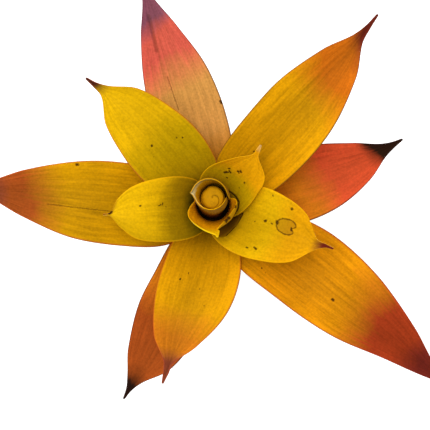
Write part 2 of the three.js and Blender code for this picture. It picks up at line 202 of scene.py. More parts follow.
def ball_direction(azimuth, height):
    """Unit vector at an azimuth and a height angle, in radians: (cos h cos a, cos h sin a, sin h)."""
    return about_axis(np.cos(height), azimuth, np.sin(height))


def level_left(azimuth):
    """Level unit vector a quarter turn to the left of an azimuth, in radians: (-sin a, cos a, 0)."""
    return np.stack([-np.sin(azimuth), np.cos(azimuth), 0 * azimuth], -1)


def twine_turn(tilt, azimuth, count):
    """Unit vectors round one turn of twine: a great circle, uphill cos q + across sin q."""
    tilt, azimuth = np.radians([tilt, azimuth])
    angle = np.linspace(0, 2 * np.pi, count, endpoint=False)[:, None]
    return ball_direction(azimuth, tilt) * np.cos(angle) + level_left(azimuth) * np.sin(angle)


def moss_mat():
    """The mat as a solid of revolution: an arc of the ball from the rest spot to the collar, a round lip over
    the collar, and an arc back inside, each point then moved along its own radius by the lumps."""
    rest = np.arcsin(REST_RADIUS / BALL_RADIUS)
    inner = BALL_RADIUS - MOSS_THICKNESS
    collar_out = np.pi - np.arcsin(COLLAR_RADIUS / BALL_RADIUS)
    collar_in = np.pi - np.arcsin(COLLAR_RADIUS / inner)
    out = np.linspace(rest, collar_out, MAT_ROWS)
    lip = np.linspace(0, 1, 12)[1:-1]
    back = np.linspace(collar_in, 0.02, MAT_ROWS // 2)
    polar = np.concatenate([out, collar_out + (collar_in - collar_out) * lip, back])
    reach = np.concatenate([
        np.full(len(out), BALL_RADIUS), BALL_RADIUS - MOSS_THICKNESS * lip, np.full(len(back), inner),
    ])
    reach[len(out):len(out) + len(lip)] += LIP_BULGE * np.sin(np.pi * lip)
    floor = np.linspace(0.3, REST_RADIUS, 10)[:-1]
    around = -np.linspace(0, 2 * np.pi, MAT_SIDES, endpoint=False)
    height = polar - np.pi / 2
    ball = ball_direction(around[None, :], height[:, None])
    plain = ball * BALL_RADIUS
    lumps = moss_lump(ball)
    for swell, length, seed in MAT_RIPPLES:
        lumps = lumps + swell * ripple(plain, length, seed)
    skin = smooth_step(reach, inner + 1, BALL_RADIUS - 1)[:, None]
    clear = smooth_step(BALL_CENTRE_Z + BALL_RADIUS * np.sin(height), 0, 6)[:, None]
    places = ball * (reach[:, None] + lumps * skin * clear)[..., None]
    places[..., 2] += BALL_CENTRE_Z
    spot = about_axis(floor[:, None], around, 0)
    return closed_rings(np.concatenate([spot, places]))


def spike(s, rise, reach):
    """A thin three-sided spike, as points and triangles, through places s along its length: its middle is at
    (s, 0, rise), and its corners a reach away from that."""
    corner = -np.radians([90, 210, 330])
    rings = np.stack([s + 0 * corner, reach * np.cos(corner), rise + reach * np.sin(corner)], -1)
    points, (skin, ends) = closed_rings(rings)
    return points, np.vstack([skin[:, [0, 1, 2]], skin[:, [0, 2, 3]], ends])


def moss_shoot():
    """One feathery shoot 1 unit long, as points and triangles: a thin three-sided stalk on the curve
    (s, 0, 0.5 s - 0.2 s^2), with flat four-sided leaflets slanting out on both sides of it."""
    s = np.array([0, 0.5, 1])[:, None]
    stalk, triangles = spike(s, 0.5 * s - 0.2 * s**2, STALK_THICKNESS * (1.1 - s))
    parts = [(stalk, [triangles])]
    leaflet = np.array([[0, 1, 3], [1, 2, 3], [2, 0, 3], [0, 2, 1]])
    for k in range(SHOOT_LEAFLETS):
        s = 0.15 + 0.8 * k / (SHOOT_LEAFLETS - 1)
        side = 1 if k % 2 else -1
        tip = (0.16, side * 0.2 * (1.25 - s), 0.09)
        corners = np.array([(0, 0, 0), (0.11, side * 0.03, 0.02), tip, (0.05, side * 0.06, 0.06)])
        parts.append((corners + [s, 0, 0.5 * s - 0.2 * s**2], [leaflet[:, ::side]]))
    points, faces = joined(parts)
    return points, np.vstack(faces)


def repeated(points, triangles, frames, places):
    """One small shape set at many places: points @ frame + place, with the triangles numbered on."""
    moved = points @ frames + places[:, None, :]
    numbers = np.arange(len(places))[:, None, None] * len(points) + triangles
    return moved.reshape(-1, 3), numbers.reshape(-1, 3)


def moss_shoots():
    """Shoots on a spiral of even spacing over the ball, each turned and tipped at random, shorter and flatter
    near the twine and the rest spot, and kept above the surface that the ball stands on."""
    draw = np.random.default_rng(11)
    number = np.arange(SHOOT_COUNT) + 0.5
    lowest = -np.cos(np.arcsin(0.8 * REST_RADIUS / BALL_RADIUS))
    highest = np.cos(np.arcsin(0.8 * COLLAR_RADIUS / BALL_RADIUS))
    height = np.arcsin(lowest + (highest - lowest) * number / SHOOT_COUNT)
    out = ball_direction(number * np.pi * (3 - np.sqrt(5)) + draw.normal(0, 0.02, SHOOT_COUNT), height)
    out += draw.normal(0, 0.012, out.shape)
    out = unit(out)
    string = np.concatenate([twine_turn(tilt, azimuth, 160) for tilt, azimuth in TWINE_TURNS])
    nearness = np.arccos(np.clip(out @ string.T, -1, 1)).min(1) * BALL_RADIUS
    pressed = smooth_step(nearness, 0.6, 4)
    low = smooth_step(BALL_CENTRE_Z + BALL_RADIUS * out[:, 2], 1, 8)
    size = draw.uniform(*SHOOT_LENGTH, SHOOT_COUNT) * (0.55 + 0.45 * pressed) * (0.6 + 0.4 * low)
    upright = draw.uniform(-0.15, 0.75, SHOOT_COUNT) * pressed * low
    turn = draw.uniform(0, 2 * np.pi, SHOOT_COUNT)
    east = unit(np.cross([0, 0, 1], out))
    north = np.cross(out, east)
    ahead = east * np.cos(turn)[:, None] + north * np.sin(turn)[:, None]
    forward = ahead * np.cos(upright)[:, None] + out * np.sin(upright)[:, None]
    top = out * np.cos(upright)[:, None] - ahead * np.sin(upright)[:, None]
    frames = np.stack([forward, np.cross(top, forward), top], 1) * size[:, None, None]
    sunk = BALL_RADIUS + moss_lump(out) - 0.9 + 0.5 * draw.random(SHOOT_COUNT)
    places = out * sunk[:, None] + [0, 0, BALL_CENTRE_Z]
    points, triangles = moss_shoot()
    moved, faces = repeated(points, triangles, frames, places)
    moved[:, 2] = np.maximum(moved[:, 2], 0.1)
    shade = np.repeat(draw.random(SHOOT_COUNT), len(points))
    return moved, [faces], {"shade": shade, "reach": np.tile(points[:, 0], SHOOT_COUNT)}


def moss_material(name, stops, lift):
    """Living moss: matt, no cuticle to shine, so nearly all its light is scattered. Green varies from shoot
    to shoot and in patches about 12 mm wide, with brown where it is dry."""
    material, tree, place = new_material(name)
    mixed = node(tree, "TexNoise", {"Vector": place, "Scale": 85, "Detail": 3})[0]
    specks = node(tree, "TexNoise", {"Vector": place, "Scale": 900, "Detail": 2})[0]
    own, reach = [node(tree, "Attribute", attribute_name=key)["Fac"] for key in ("shade", "reach")]
    for part, weight in ((own, 0.45), (reach, lift), (specks, 0.25)):
        mixed = node(tree, "Math", {0: part, 1: weight, 2: mixed}, operation="MULTIPLY_ADD")[0]
    share = node(tree, "MapRange", {"Value": mixed, "From Min": 0.45, "From Max": 1.35})[0]
    colour = node(tree, "ValToRGB", {0: share}, stops)[0]
    surface = {"Base Color": colour, "Roughness": 0.9, "Specular IOR Level": 0.15, "Sheen Weight": 0.3}
    return finished(material, surface, specks, 0.6, 0.0006)


mat_material = moss_material("sheet moss, packed", [
    (0, "2a2410"), (0.35, "3b3a14"), (0.65, "52561d"), (1, "6d6f2c"),
], 0)
shoot_material = moss_material("sheet moss, growing tips", [
    (0, "3a2f14"), (0.2, "4a4a18"), (0.45, "5f6e22"), (0.7, "7d8a2c"), (1, "a5ac48"),
], 0.35)
make_piece("moss_mat", *moss_mat(), mat_material, "moss", ["moss_wrap"])
points, faces, values = moss_shoots()
make_piece("moss_shoots", points, faces, shoot_material, "moss", values=values)

# The soil: a ball of dark peat and clay inside the moss, seen only at the collar round the plant's foot.
# Its CAD solid keeps its shape, and loose crumbs and bits of peat lie on top of it.
CRUMB_COUNT = 900
CRUMB_SIZE = (0.35, 1.15)
SOIL_RADIUS = BALL_RADIUS - MOSS_THICKNESS - 0.3
ROOT_HOLE_RADIUS = 9.3


def soil_crumbs():
    """Crumbs scattered in the collar: each a cube, pressed flat, with its corners pulled about at random."""
    draw = np.random.default_rng(21)
    reach = np.sqrt(draw.uniform((ROOT_HOLE_RADIUS + 0.3) ** 2, (COLLAR_RADIUS + 1) ** 2, CRUMB_COUNT))
    angle = draw.uniform(0, 2 * np.pi, CRUMB_COUNT)
    size = draw.uniform(*CRUMB_SIZE, CRUMB_COUNT) * draw.random(CRUMB_COUNT) ** 0.5
    top = BALL_CENTRE_Z + np.sqrt(SOIL_RADIUS**2 - reach**2) + size * 0.3
    places = about_axis(reach, angle, top)
    cube = np.array([[x, y, z] for x in (-1, 1) for y in (-1, 1) for z in (-0.8, 0.8)], float)
    sides = np.array([[0, 1, 3, 2], [4, 6, 7, 5], [0, 4, 5, 1], [2, 3, 7, 6], [0, 2, 6, 4], [1, 5, 7, 3]])
    corners = cube * draw.uniform(0.45, 1, (CRUMB_COUNT, 8, 3))
    twist = draw.uniform(0, 2 * np.pi, CRUMB_COUNT)
    turned = np.stack([
        corners[..., 0] * np.cos(twist)[:, None] - corners[..., 1] * np.sin(twist)[:, None],
        corners[..., 0] * np.sin(twist)[:, None] + corners[..., 1] * np.cos(twist)[:, None],
        corners[..., 2],
    ], -1)
    points = (turned * size[:, None, None] + places[:, None, :]).reshape(-1, 3)
    faces = np.arange(CRUMB_COUNT)[:, None, None] * 8 + sides
    return points, [faces.reshape(-1, 4)]


def soil_material():
    """Damp peat: dull and rough, nearly black in its hollows, with grains about 1 mm across."""
    material, tree, place = new_material("damp peat soil")
    grains = node(tree, "TexNoise", {"Vector": place, "Scale": 700, "Detail": 4})[0]
    colour = node(tree, "ValToRGB", {0: grains}, [(0.3, "1c120b"), (0.55, "33241a"), (0.75, "5a4332")])[0]
    surface = {"Base Color": colour, "Roughness": 0.85, "Specular IOR Level": 0.25}
    return finished(material, surface, grains, 0.8, 0.001)


peat = soil_material()
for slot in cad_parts["soil_ball"].material_slots:
    slot.material = peat
make_piece("soil_crumbs", *soil_crumbs(), peat, "soil")

# The twine: three-ply jute about 1.8 mm thick, wound five times round the moss and pulled tight, so that it
# sinks among the shoots. Its ends are tied in a small knot at one side and left to fray.
TURN_POINTS = 400
STRAND_SIDES = 6
STRAND_RADIUS = TWINE_RADIUS / 2.155
PLY_REACH = TWINE_RADIUS - STRAND_RADIUS
LAY_LENGTH = 6.5
CROSSING_LIFT = 1.7 * TWINE_RADIUS
CROSSING_WIDTH = 2.2
KNOT_AZIMUTH = -62
KNOT_HEIGHT_ANGLE = 14
KNOT_WAY = ball_direction(*np.radians([KNOT_AZIMUTH, KNOT_HEIGHT_ANGLE]))
KNOT_POINTS = 90
KNOT_SIZE = 0.72
KNOT_LIFT = 1.3
KNOT_TWISTS = 4
TAIL_ANGLES = (12, 18, 25, 33)
TAIL_POINTS = 46
TAIL_TWISTS = 3.5
TAIL_SPREAD = 1.1
TAIL_FIBRES = 22
FIBRE_COUNT = 620
FIBRE_LENGTH = (1.5, 4)
FIBRE_THICKNESS = 0.02


def over_moss(direction):
    """Middle of the twine over the moss in a direction from the ball's centre, in mm from that centre."""
    return direction * (BALL_RADIUS + moss_lump(direction) + TWINE_LIFT + TWINE_RADIUS)[..., None]


def strands(path, normals, twists, closed, spread=1):
    """Three plies round a path: each is a tube whose middle turns round the path as a helix, p + r (n cos q +
    b sin q), with r so large that the plies touch. spread lets them part towards a frayed end."""
    ahead = np.roll(path, -1, 0) - np.roll(path, 1, 0) if closed else np.gradient(path, axis=0)
    ahead = unit(ahead)
    normals = unit(normals - ahead * (normals * ahead).sum(1, keepdims=True))
    across = np.cross(ahead, normals)
    turn = np.linspace(0, 2 * np.pi * twists, len(path), endpoint=not closed)
    reach = np.reshape(PLY_REACH * spread, (-1, 1))
    around = -np.linspace(0, 2 * np.pi, STRAND_SIDES, endpoint=False)[:, None]
    plies = []
    for ply in range(3):
        angle = (turn + ply * 2 * np.pi / 3)[:, None]
        middle = path + (normals * np.cos(angle) + across * np.sin(angle)) * reach
        rings = middle[:, None, :] + STRAND_RADIUS * (
            normals[:, None, :] * np.cos(around) + across[:, None, :] * np.sin(around))
        if closed:
            plies.append((rings.reshape(-1, 3), [skin_faces(len(path), STRAND_SIDES, True)]))
        else:
            plies.append(closed_rings(rings))
    return joined(plies)


def wound_turns():
    """Middles of the five turns. Where a later turn crosses an earlier one it is lifted over it, by most of a
    twine's thickness times a bell curve of the distance between them."""
    turns = []
    for tilt, azimuth in TWINE_TURNS:
        ways = twine_turn(tilt, azimuth, TURN_POINTS)
        middle = over_moss(ways)
        if turns:
            before = np.concatenate([unit(other) for other in turns])
            apart = np.arccos(np.clip(ways @ before.T, -1, 1)).min(1) * BALL_RADIUS
            middle += ways * (CROSSING_LIFT * np.exp(-(apart / CROSSING_WIDTH) ** 2))[:, None]
        turns.append(middle)
    return turns


def tail_ways(side, angles):
    """Directions down an end of the twine: half of each angle to one side of the knot, and 0.8 of it down."""
    return ball_direction(
        np.radians(KNOT_AZIMUTH + side * angles / 2), np.radians(KNOT_HEIGHT_ANGLE - 0.8 * angles))


def jute_twine():
    """All of the twine: five closed turns, a trefoil pulled small for the knot, and two short ends."""
    made = []
    for middle in wound_turns():
        length = np.linalg.norm(np.roll(middle, -1, 0) - middle, axis=1).sum()
        made.append(strands(middle, unit(middle), round(length / LAY_LENGTH), True))
    across = level_left(np.radians(KNOT_AZIMUTH))
    up = np.cross(KNOT_WAY, across)
    t = np.linspace(0, 2 * np.pi, KNOT_POINTS, endpoint=False)[:, None]
    knot = KNOT_SIZE * (across * (np.sin(t) + 2 * np.sin(2 * t)) + up * (np.cos(t) - 2 * np.cos(2 * t))
                        - KNOT_WAY * np.sin(3 * t) * 1.2)
    knot = knot + over_moss(KNOT_WAY) + KNOT_WAY * KNOT_LIFT
    made.append(strands(knot, np.tile(KNOT_WAY, (KNOT_POINTS, 1)), KNOT_TWISTS, True))
    angles = np.interp(np.linspace(0, 4, TAIL_POINTS), range(5), (0, *TAIL_ANGLES))
    spread = 1 + TAIL_SPREAD * np.linspace(0, 1, TAIL_POINTS) ** 6
    for side in (-1, 1):
        ways = tail_ways(side, angles)
        made.append(strands(over_moss(ways), ways, TAIL_TWISTS, False, spread))
    points, faces = joined(made)
    return points + [0, 0, BALL_CENTRE_Z], faces


def jute_fibres():
    """Loose fibres: thin three-sided spikes 1.5 to 4 mm long, bent by (s, 0, 0.35 s^2), that leave the twine
    at low angles, with a bunch of them at each frayed end."""
    draw = np.random.default_rng(31)
    s = np.linspace(0, 1, 4)[:, None]
    points, triangles = spike(s, 0.35 * s**2, FIBRE_THICKNESS * (1.05 - s))
    turns = wound_turns()
    middles = np.concatenate(turns)
    ahead = np.concatenate([np.roll(turn, -1, 0) - turn for turn in turns])
    pick = draw.integers(0, len(middles), FIBRE_COUNT)
    tails = tail_ways(np.repeat([-1, 1], TAIL_FIBRES), TAIL_ANGLES[-1])
    places = np.vstack([middles[pick], over_moss(tails)])
    either = draw.choice([-1, 1], FIBRE_COUNT)[:, None]
    ahead = np.vstack([unit(ahead[pick]) * either, tails - KNOT_WAY])
    out = unit(places)
    forward = ahead + 0.55 * out * draw.random(len(out))[:, None] + draw.normal(0, 0.35, out.shape)
    forward = unit(forward)
    side = unit(np.cross(out, forward))
    size = draw.uniform(*FIBRE_LENGTH, len(out))[:, None, None]
    frames = np.stack([forward, side, np.cross(forward, side)], 1) * size
    moved, faces = repeated(points, triangles, frames, places + out * 0.5 + [0, 0, BALL_CENTRE_Z])
    return moved, [faces]


def jute_material():
    """Jute, a coarse bast fibre: dry and matt with a slight silky sheen, golden brown with paler and darker
    fibres about 0.3 mm wide."""
    material, tree, place = new_material("spun jute")
    fibres = node(tree, "TexNoise", {"Vector": place, "Scale": 1700, "Detail": 3})[0]
    colour = node(tree, "ValToRGB", {0: fibres}, [(0.3, "6b4c27"), (0.5, "a07c4b"), (0.72, "cdb184")])[0]
    surface = {"Base Color": colour, "Roughness": 0.75, "Specular IOR Level": 0.25, "Sheen Weight": 0.35}
    return finished(material, surface, fibres, 0.5, 0.0003)


jute = jute_material()
make_piece("jute_twine", *jute_twine(), jute, "twine", ["twine"])
make_piece("jute_fibres", *jute_fibres(), jute, "twine")

# The stem: the short root stock, the crown that the leaves grow from, the bare scape, and the stout axis of
# the flower head, all one fleshy stem. It is pale green and ringed with scars; its top in the head's hollow
# is painted dark, a painted shade.
CROWN_TOP_Z = 92
HEAD_BASE_Z = 135
HEAD_CENTRE = np.array([-5, -6])
STEM_SIDES = 48
RING_SPACING = 4
RING_DEPTH = 0.12
STOCK_PROFILE = [
    (52.3, 6.5), (56, 8.2), (62, 9), (76, 9), (79.5, 8.2), (83.5, 7.8),
    (85, 6.8), (89, 6.4), (90.5, 5.4), (95, 5), (104, 4.6), (118, 4.6),
]
HEAD_PROFILE = [
    (-6, 5), (-1, 9.2), (2, 10.2), (18.5, 10.2), (20.5, 9.2), (24.5, 9), (25.5, 8),
    (27.5, 7.8), (28.5, 6.7), (30.5, 6.5), (31.2, 5), (33, 4.7), (34.5, 3.2),
]


def axis_at(z):
    """The stem's middle at height z: upright, then leaning to the head's centre by a smooth step of z."""
    return smooth_step(z, CROWN_TOP_Z, HEAD_BASE_Z)[..., None] * HEAD_CENTRE


def plant_stem():
    """Level rings with radii read off the profile, ringed by scars: shallow waves 4 mm apart up the scape."""
    profile = np.array(STOCK_PROFILE + [(HEAD_BASE_Z + above, radius) for above, radius in HEAD_PROFILE])
    z = np.union1d(np.arange(profile[0, 0], profile[-1, 0], 0.7), profile[:, 0])
    scars = RING_DEPTH * np.abs(np.cos(np.pi * z / RING_SPACING)) ** 6
    radius = np.interp(z, profile[:, 0], profile[:, 1]) - scars
    around = -np.linspace(0, 2 * np.pi, STEM_SIDES, endpoint=False)
    radius = radius[:, None] * (1 - 0.02 * np.cos(8 * around))
    middle = axis_at(z)
    return closed_rings(about_axis(radius, around, z[:, None], middle.T[..., None]))


def stem_material():
    """Fleshy green stem with a thin waxy skin: satin, streaked along its length, pale at the foot and redder
    up the scape. Its top inside the head is painted brown-black: painted shade."""
    material, tree, place = new_material("fleshy stem")
    height = node(tree, "SeparateXYZ", {0: place})["Z"]
    long_way = node(tree, "Mapping", {"Vector": place, "Scale": (900, 900, 60)})[0]
    streaks = node(tree, "TexNoise", {"Vector": long_way, "Scale": 1, "Detail": 3})[0]
    moved = node(tree, "Math", {0: streaks, 1: 0.012, 2: height}, operation="MULTIPLY_ADD")[0]
    share = node(tree, "MapRange", {"Value": moved, "From Min": 0.07, "From Max": 0.175})[0]
    # The last stops, darkening to near black at the top of the head's axis, are painted shade.
    colour = node(tree, "ValToRGB", {0: share}, [
        (0, "b9b878"), (0.2, "8f9a45"), (0.5, "93913a"), (0.68, "a8752c"), (0.85, "7d4f14"), (0.93, "1e1204"),
    ])[0]
    surface = {"Base Color": colour, "Roughness": 0.5, "Specular IOR Level": 0.3}
    return finished(material, surface, streaks, 0.25, 0.0004)


make_piece("fleshy_stem", *plant_stem(), stem_material(), "stem", ["stem"])

# The leaves: twelve green straps in three whorls round the crown, arching out and down. Each is a tough
# fleshy blade with a glossy skin, fine lengthwise veins and a pale foot that sheathes the crown.
STATIONS = np.array([0, 0.15, 0.35, 0.55, 0.75, 0.87, 0.94, 1])
TIP_HALF_WIDTH = 0.45
MIN_ARC_RADIUS = 0.9
TIP_CROWDING = 1.4
RIB_THICKNESS = 1
EDGE_THICKNESS = 0.55
GROOVE_WIDTH = 0.9
CREASE_WIDTH = 0.7
LONG_RUFFLE = 9
SHORT_RUFFLE = 4.3
HOLLOW_DEPTH = 1.6
HOLLOW_SHADE = 5
NO_HOLLOW = ([0, 1], [-9, -9])
MAP_SIZE = 200
RIB_STEPS = 480
LEAF_WHORLS = [
    dict(base=80.5, seat=9.1, half=10.5, rise=(48, 12, -38),
         leaves=[(178, 103), (106, 100), (17, 86), (-41, 116), (-108, 94)]),
    dict(base=86, seat=7.7, half=9.5, rise=(60, 24, -26),
         leaves=[(52, 100), (136, 84), (-120, 80), (-4, 66)]),
    dict(base=91.5, seat=6.3, half=8, rise=(70, 40, -8),
         leaves=[(168, 66), (-50, 64), (32, 66)]),
]
LEAF_PLAN = np.array([0.36, 0.54, 0.86, 1, 0.86, 0.58, 0.32])
LEAF_CURL = (40, 26, 30)


def parabola(ends, s):
    """The parabola through three values, at s = 0, 0.5 and 1."""
    return ends[0] * (1 - s) * (1 - 2 * s) + 4 * ends[1] * s * (1 - s) + ends[2] * s * (2 * s - 1)


def through_stations(widths, stations, s):
    """The cubic Hermite curve through the half widths at the stations and the tip's own, read at s."""
    values = np.array([*widths, TIP_HALF_WIDTH])
    last = len(stations) - 1
    before, after = np.maximum(np.arange(last + 1) - 1, 0), np.minimum(np.arange(last + 1) + 1, last)
    slope = (values[after] - values[before]) / (stations[after] - stations[before])
    k = np.clip(np.searchsorted(stations, s, side="right") - 1, 0, last - 1)
    span = stations[k + 1] - stations[k]
    q = (s - stations[k]) / span
    return (values[k] * (1 + 2 * q) * (1 - q) ** 2 + slope[k] * span * q * (1 - q) ** 2
            + values[k + 1] * q * q * (3 - 2 * q) - slope[k + 1] * span * q * q * (1 - q))


def blade(shape, rows, columns, ribs, relief, wave, seed, groove=0.1):
    """A blade: arcs of a circle, left and right of a rib. The rib starts on the stem's seat, and its rise is
    a parabola of s and its heading azimuth + sway s^2. A point is rib + left (R - d) sin(q) + up (R -
    (R - d) cos(q)), where q = width t / R and d is the distance from the blade's middle sheet, which
    dies out at the edges as the root of 1 - |t|^16. Veins, a groove along the rib, waves at the margin,
    creases (round-bottomed along a line) and a hollow foot are small shifts of d, and so is the spiral
    that lets one margin of a roll pass inside the other."""
    s = 1 - (1 - np.linspace(0, 1, rows + 1)) ** TIP_CROWDING
    fine = np.linspace(0, 1, RIB_STEPS + 1)

    def directions(at):
        rise = np.radians(parabola(shape["rise"], at))
        heading = np.radians(shape["azimuth"] + shape.get("sway", 0) * at**2)
        along = ball_direction(heading, rise)
        left = level_left(heading)
        return along, left, np.cross(along, left)

    steps = directions((fine[1:] + fine[:-1]) / 2)[0] * shape["length"] / RIB_STEPS
    walked = np.vstack([np.zeros(3), np.cumsum(steps, 0)])
    azimuth = np.radians(shape["azimuth"])
    foot = axis_at(np.array(shape["base"])) + shape["seat"] * np.array([np.cos(azimuth), np.sin(azimuth)])
    rib = np.stack([np.interp(s, fine, walked[:, k]) for k in range(3)], -1) + [*foot, shape["base"]]
    rib[:, :2] += np.outer(s, shape.get("lean", (0, 0))) + np.outer(s**10, shape.get("flare", (0, 0)))
    along, left, up = directions(s)
    across = np.linspace(-1, 1, columns + 1)
    t = np.concatenate([across, across[-2:0:-1]])[None, :]
    face = np.concatenate([np.ones(columns + 1), -np.ones(columns - 1)])[None, :]
    s_column = s[:, None]
    down = shape["length"] * s_column
    stations = np.array(shape.get("stations", STATIONS))
    edges = [through_stations(shape[side], stations, s)[:, None] for side in ("left", "right")]
    width = np.where(t > 0, *edges)
    curl = np.radians(parabola(shape["curl"], s_column))
    radius = np.maximum(width / curl, shape.get("roll", MIN_ARC_RADIUS))
    angle = width * t / radius
    half = (RIB_THICKNESS + (EDGE_THICKNESS - RIB_THICKNESS) * np.abs(t)) / 2 * np.sqrt(1 - np.abs(t) ** 16)
    free = smooth_step(s_column, 0.2, 0.5) * smooth_step(1 - s_column, 0, 0.1)
    shift = relief * np.cos(np.pi * ribs * t) * (1 - t**8) * free
    shift = shift - groove * np.exp(-(width * t / GROOVE_WIDTH) ** 2) * free
    phase = np.random.default_rng(seed).uniform(0, 2 * np.pi, 4)
    ruffle = np.sin(down / LONG_RUFFLE + phase[0] + np.sign(t) * phase[1])
    ruffle = ruffle + np.sin(down / SHORT_RUFFLE + phase[2] + np.sign(t) * phase[3]) / 2
    for start, end, depth in shape.get("creases", []):
        offset = np.stack(np.broadcast_arrays(down, width * t), -1) - start
        reach = np.subtract(end, start)
        share = np.clip(offset @ reach / (reach @ reach), 0, 1)
        apart = np.linalg.norm(offset - share[..., None] * reach, axis=-1)
        shift = shift - depth * np.exp(-(apart / CREASE_WIDTH) ** 2)
    sideways, brink = shape.get("hollow", NO_HOLLOW)
    inside = np.interp(width * t, sideways, brink) - down
    shift = shift - HOLLOW_DEPTH * smooth_step(inside, 0, 1) + shape.get("spiral", 0) * t
    distance = face * half + shift + wave * np.abs(t) ** 5 * ruffle * free
    reach = radius - distance
    rings = (rib[:, None, :] + left[:, None, :] * (reach * np.sin(angle))[..., None]
             + up[:, None, :] * (radius - reach * np.cos(angle))[..., None])
    count, sides = rings.shape[:2]
    top = np.arange(1, columns - 1)
    under = 2 * columns - top
    strip = np.stack([top, top + 1, under - 1, under], -1)
    corners = np.array([[0, 1, 2 * columns - 1], [columns - 1, columns, columns + 1]])
    last = (count - 1) * sides
    faces = [skin_faces(count, sides), strip, last + strip[:, ::-1], corners, last + corners[:, ::-1]]
    values = {
        "along": np.repeat(s_column, sides, 1), "across": np.repeat(t, count, 0),
        "under": np.repeat(face < 0, count, 0), "hollow": np.clip(inside / HOLLOW_SHADE, 0, 1),
    }
    values = {key: amounts.ravel().astype(float) for key, amounts in values.items()}
    plan = np.stack([0.5 + width * t / MAP_SIZE, np.repeat(down, sides, 1) / MAP_SIZE], -1)
    return rings.reshape(-1, 3), faces, values, plan.reshape(-1, 2)


def streaks_along(tree, along, across, abreast, on_end, detail):
    """Noise drawn out along a blade, with so many cells abreast over half its width, and so many on end."""
    sideways = node(tree, "Math", {0: across, 1: abreast}, operation="MULTIPLY")[0]
    down = node(tree, "Math", {0: along, 1: on_end}, operation="MULTIPLY")[0]
    cells = node(tree, "CombineXYZ", {0: sideways, 1: down})[0]
    return node(tree, "TexNoise", {"Vector": cells, "Scale": 1, "Detail": detail})[0]


def leaf_material(name, stops, under, veins, roughness):
    """Green leaf with a smooth waxy skin: satin gloss broken by shallow lengthwise veins. Colour runs from
    the pale foot to the tip, and the lower face is duller."""
    material, tree, place = new_material(name)
    along, across, below = [
        node(tree, "Attribute", attribute_name=key)["Fac"] for key in ("along", "across", "under")]
    streaks = streaks_along(tree, along, across, veins, 5, 4)
    clouds = node(tree, "TexNoise", {"Vector": place, "Scale": 60, "Detail": 2})[0]
    share = -0.3
    for part, weight in ((along, 1), (streaks, 0.3), (clouds, 0.3)):
        share = node(tree, "Math", {0: part, 1: weight, 2: share}, operation="MULTIPLY_ADD")[0]
    upper = node(tree, "ValToRGB", {0: share}, stops)[0]
    colour = node(tree, "Mix", {0: below, 6: upper, 7: linear(under)}, data_type="RGBA")[2]
    surface = {"Base Color": colour, "Roughness": roughness, "Specular IOR Level": 0.4}
    return finished(material, surface, streaks, 0.35, 0.0005)


leaf_skin = leaf_material("green leaf, waxy", [
    (0, "a59a55"), (0.12, "7c8a3a"), (0.3, "4f7a2a"), (0.7, "4a7a2c"), (0.92, "5c7f30"), (1, "8a6a3a"),
], "56743a", 26, 0.34)
leaf_count = 0
for whorl in LEAF_WHORLS:
    for azimuth, length in whorl["leaves"]:
        leaf_count += 1
        widths = LEAF_PLAN * whorl["half"]
        shape = dict(whorl, azimuth=azimuth, length=length, curl=LEAF_CURL, left=widths, right=widths)
        points, faces, values, plan = blade(
            shape, 72, 28, ribs=7, relief=0.07, groove=0.25, wave=0.35, seed=100 + leaf_count)
        make_piece(f"green_leaf_{leaf_count:02}", points, faces, leaf_skin, "leaf",
                   [f"leaf_{leaf_count:02}"], values, plan)

# The scape bracts: three small sheathing leaves that clasp the flower stalk, green at the foot and flushed
# red towards their points.
SCAPE_BRACTS = [(60, 97, 26), (200, 105, 25), (-38, 113, 22)]
SCAPE_PLAN = (5.2, 6, 6.2, 5.4, 3.4, 1.8, 0.9)

sheath_skin = leaf_material("sheathing bract, waxy", [
    (0, "8f9440"), (0.35, "9b9236"), (0.6, "b5772a"), (0.8, "b4461f"), (1, "7a2418"),
], "93893c", 14, 0.4)
for count, (azimuth, base, length) in enumerate(SCAPE_BRACTS, 1):
    shape = dict(azimuth=azimuth, base=base, length=length, seat=6.1, rise=(76, 70, 52), curl=(62, 56, 40),
                 left=SCAPE_PLAN, right=SCAPE_PLAN)
    points, faces, values, plan = blade(shape, 40, 20, ribs=5, relief=0.05, wave=0.12, seed=200 + count)
    make_piece(
        f"sheath_{count}", points, faces, sheath_skin, "stem", [f"scape_bract_{count:02}"], values, plan)

# The coloured bracts: thick waxy leaves in a spiral round the head, the outer ones broad and arching, the
# inner ones upright and rolled. Gold and olive at the foot, they flush orange and red outwards and end in a
# dark folded point. Each has fine parallel veins, a thin rim of another colour and a few marks of age. Some
# of
# the colour is painted light: painted shade down one edge, in the tenth bract's hollow and on the backs of
# the rolled ones, painted shadow lines among the marks, and partly a painted highlight in the gold rims.
PAINTS = dict(
    night="180c04", soot="241010", dusk="2c1808", maroon="501c18", wine="78241c", plum="84485a",
    russet="98462e", chestnut="8c4614", umber="84580e", brick="aa3a1a", rust="b8541e", ember="e65430",
    coral="dc5c4c", tangerine="e07414", orange="e4841a", tan="e0a050", saffron="ea960a", amber="dc8c0a",
    honey="d09008", ochre="ba8408", bronze="a87808", khaki="8c7606", mustard="c09608", lemon="d6ac06",
    gold="e4a406", marigold="f2aa08", yolk="ffaa06", primrose="f6c00a", sun="f0cc18", cream="deb884",
    straw="f0dca0",
)
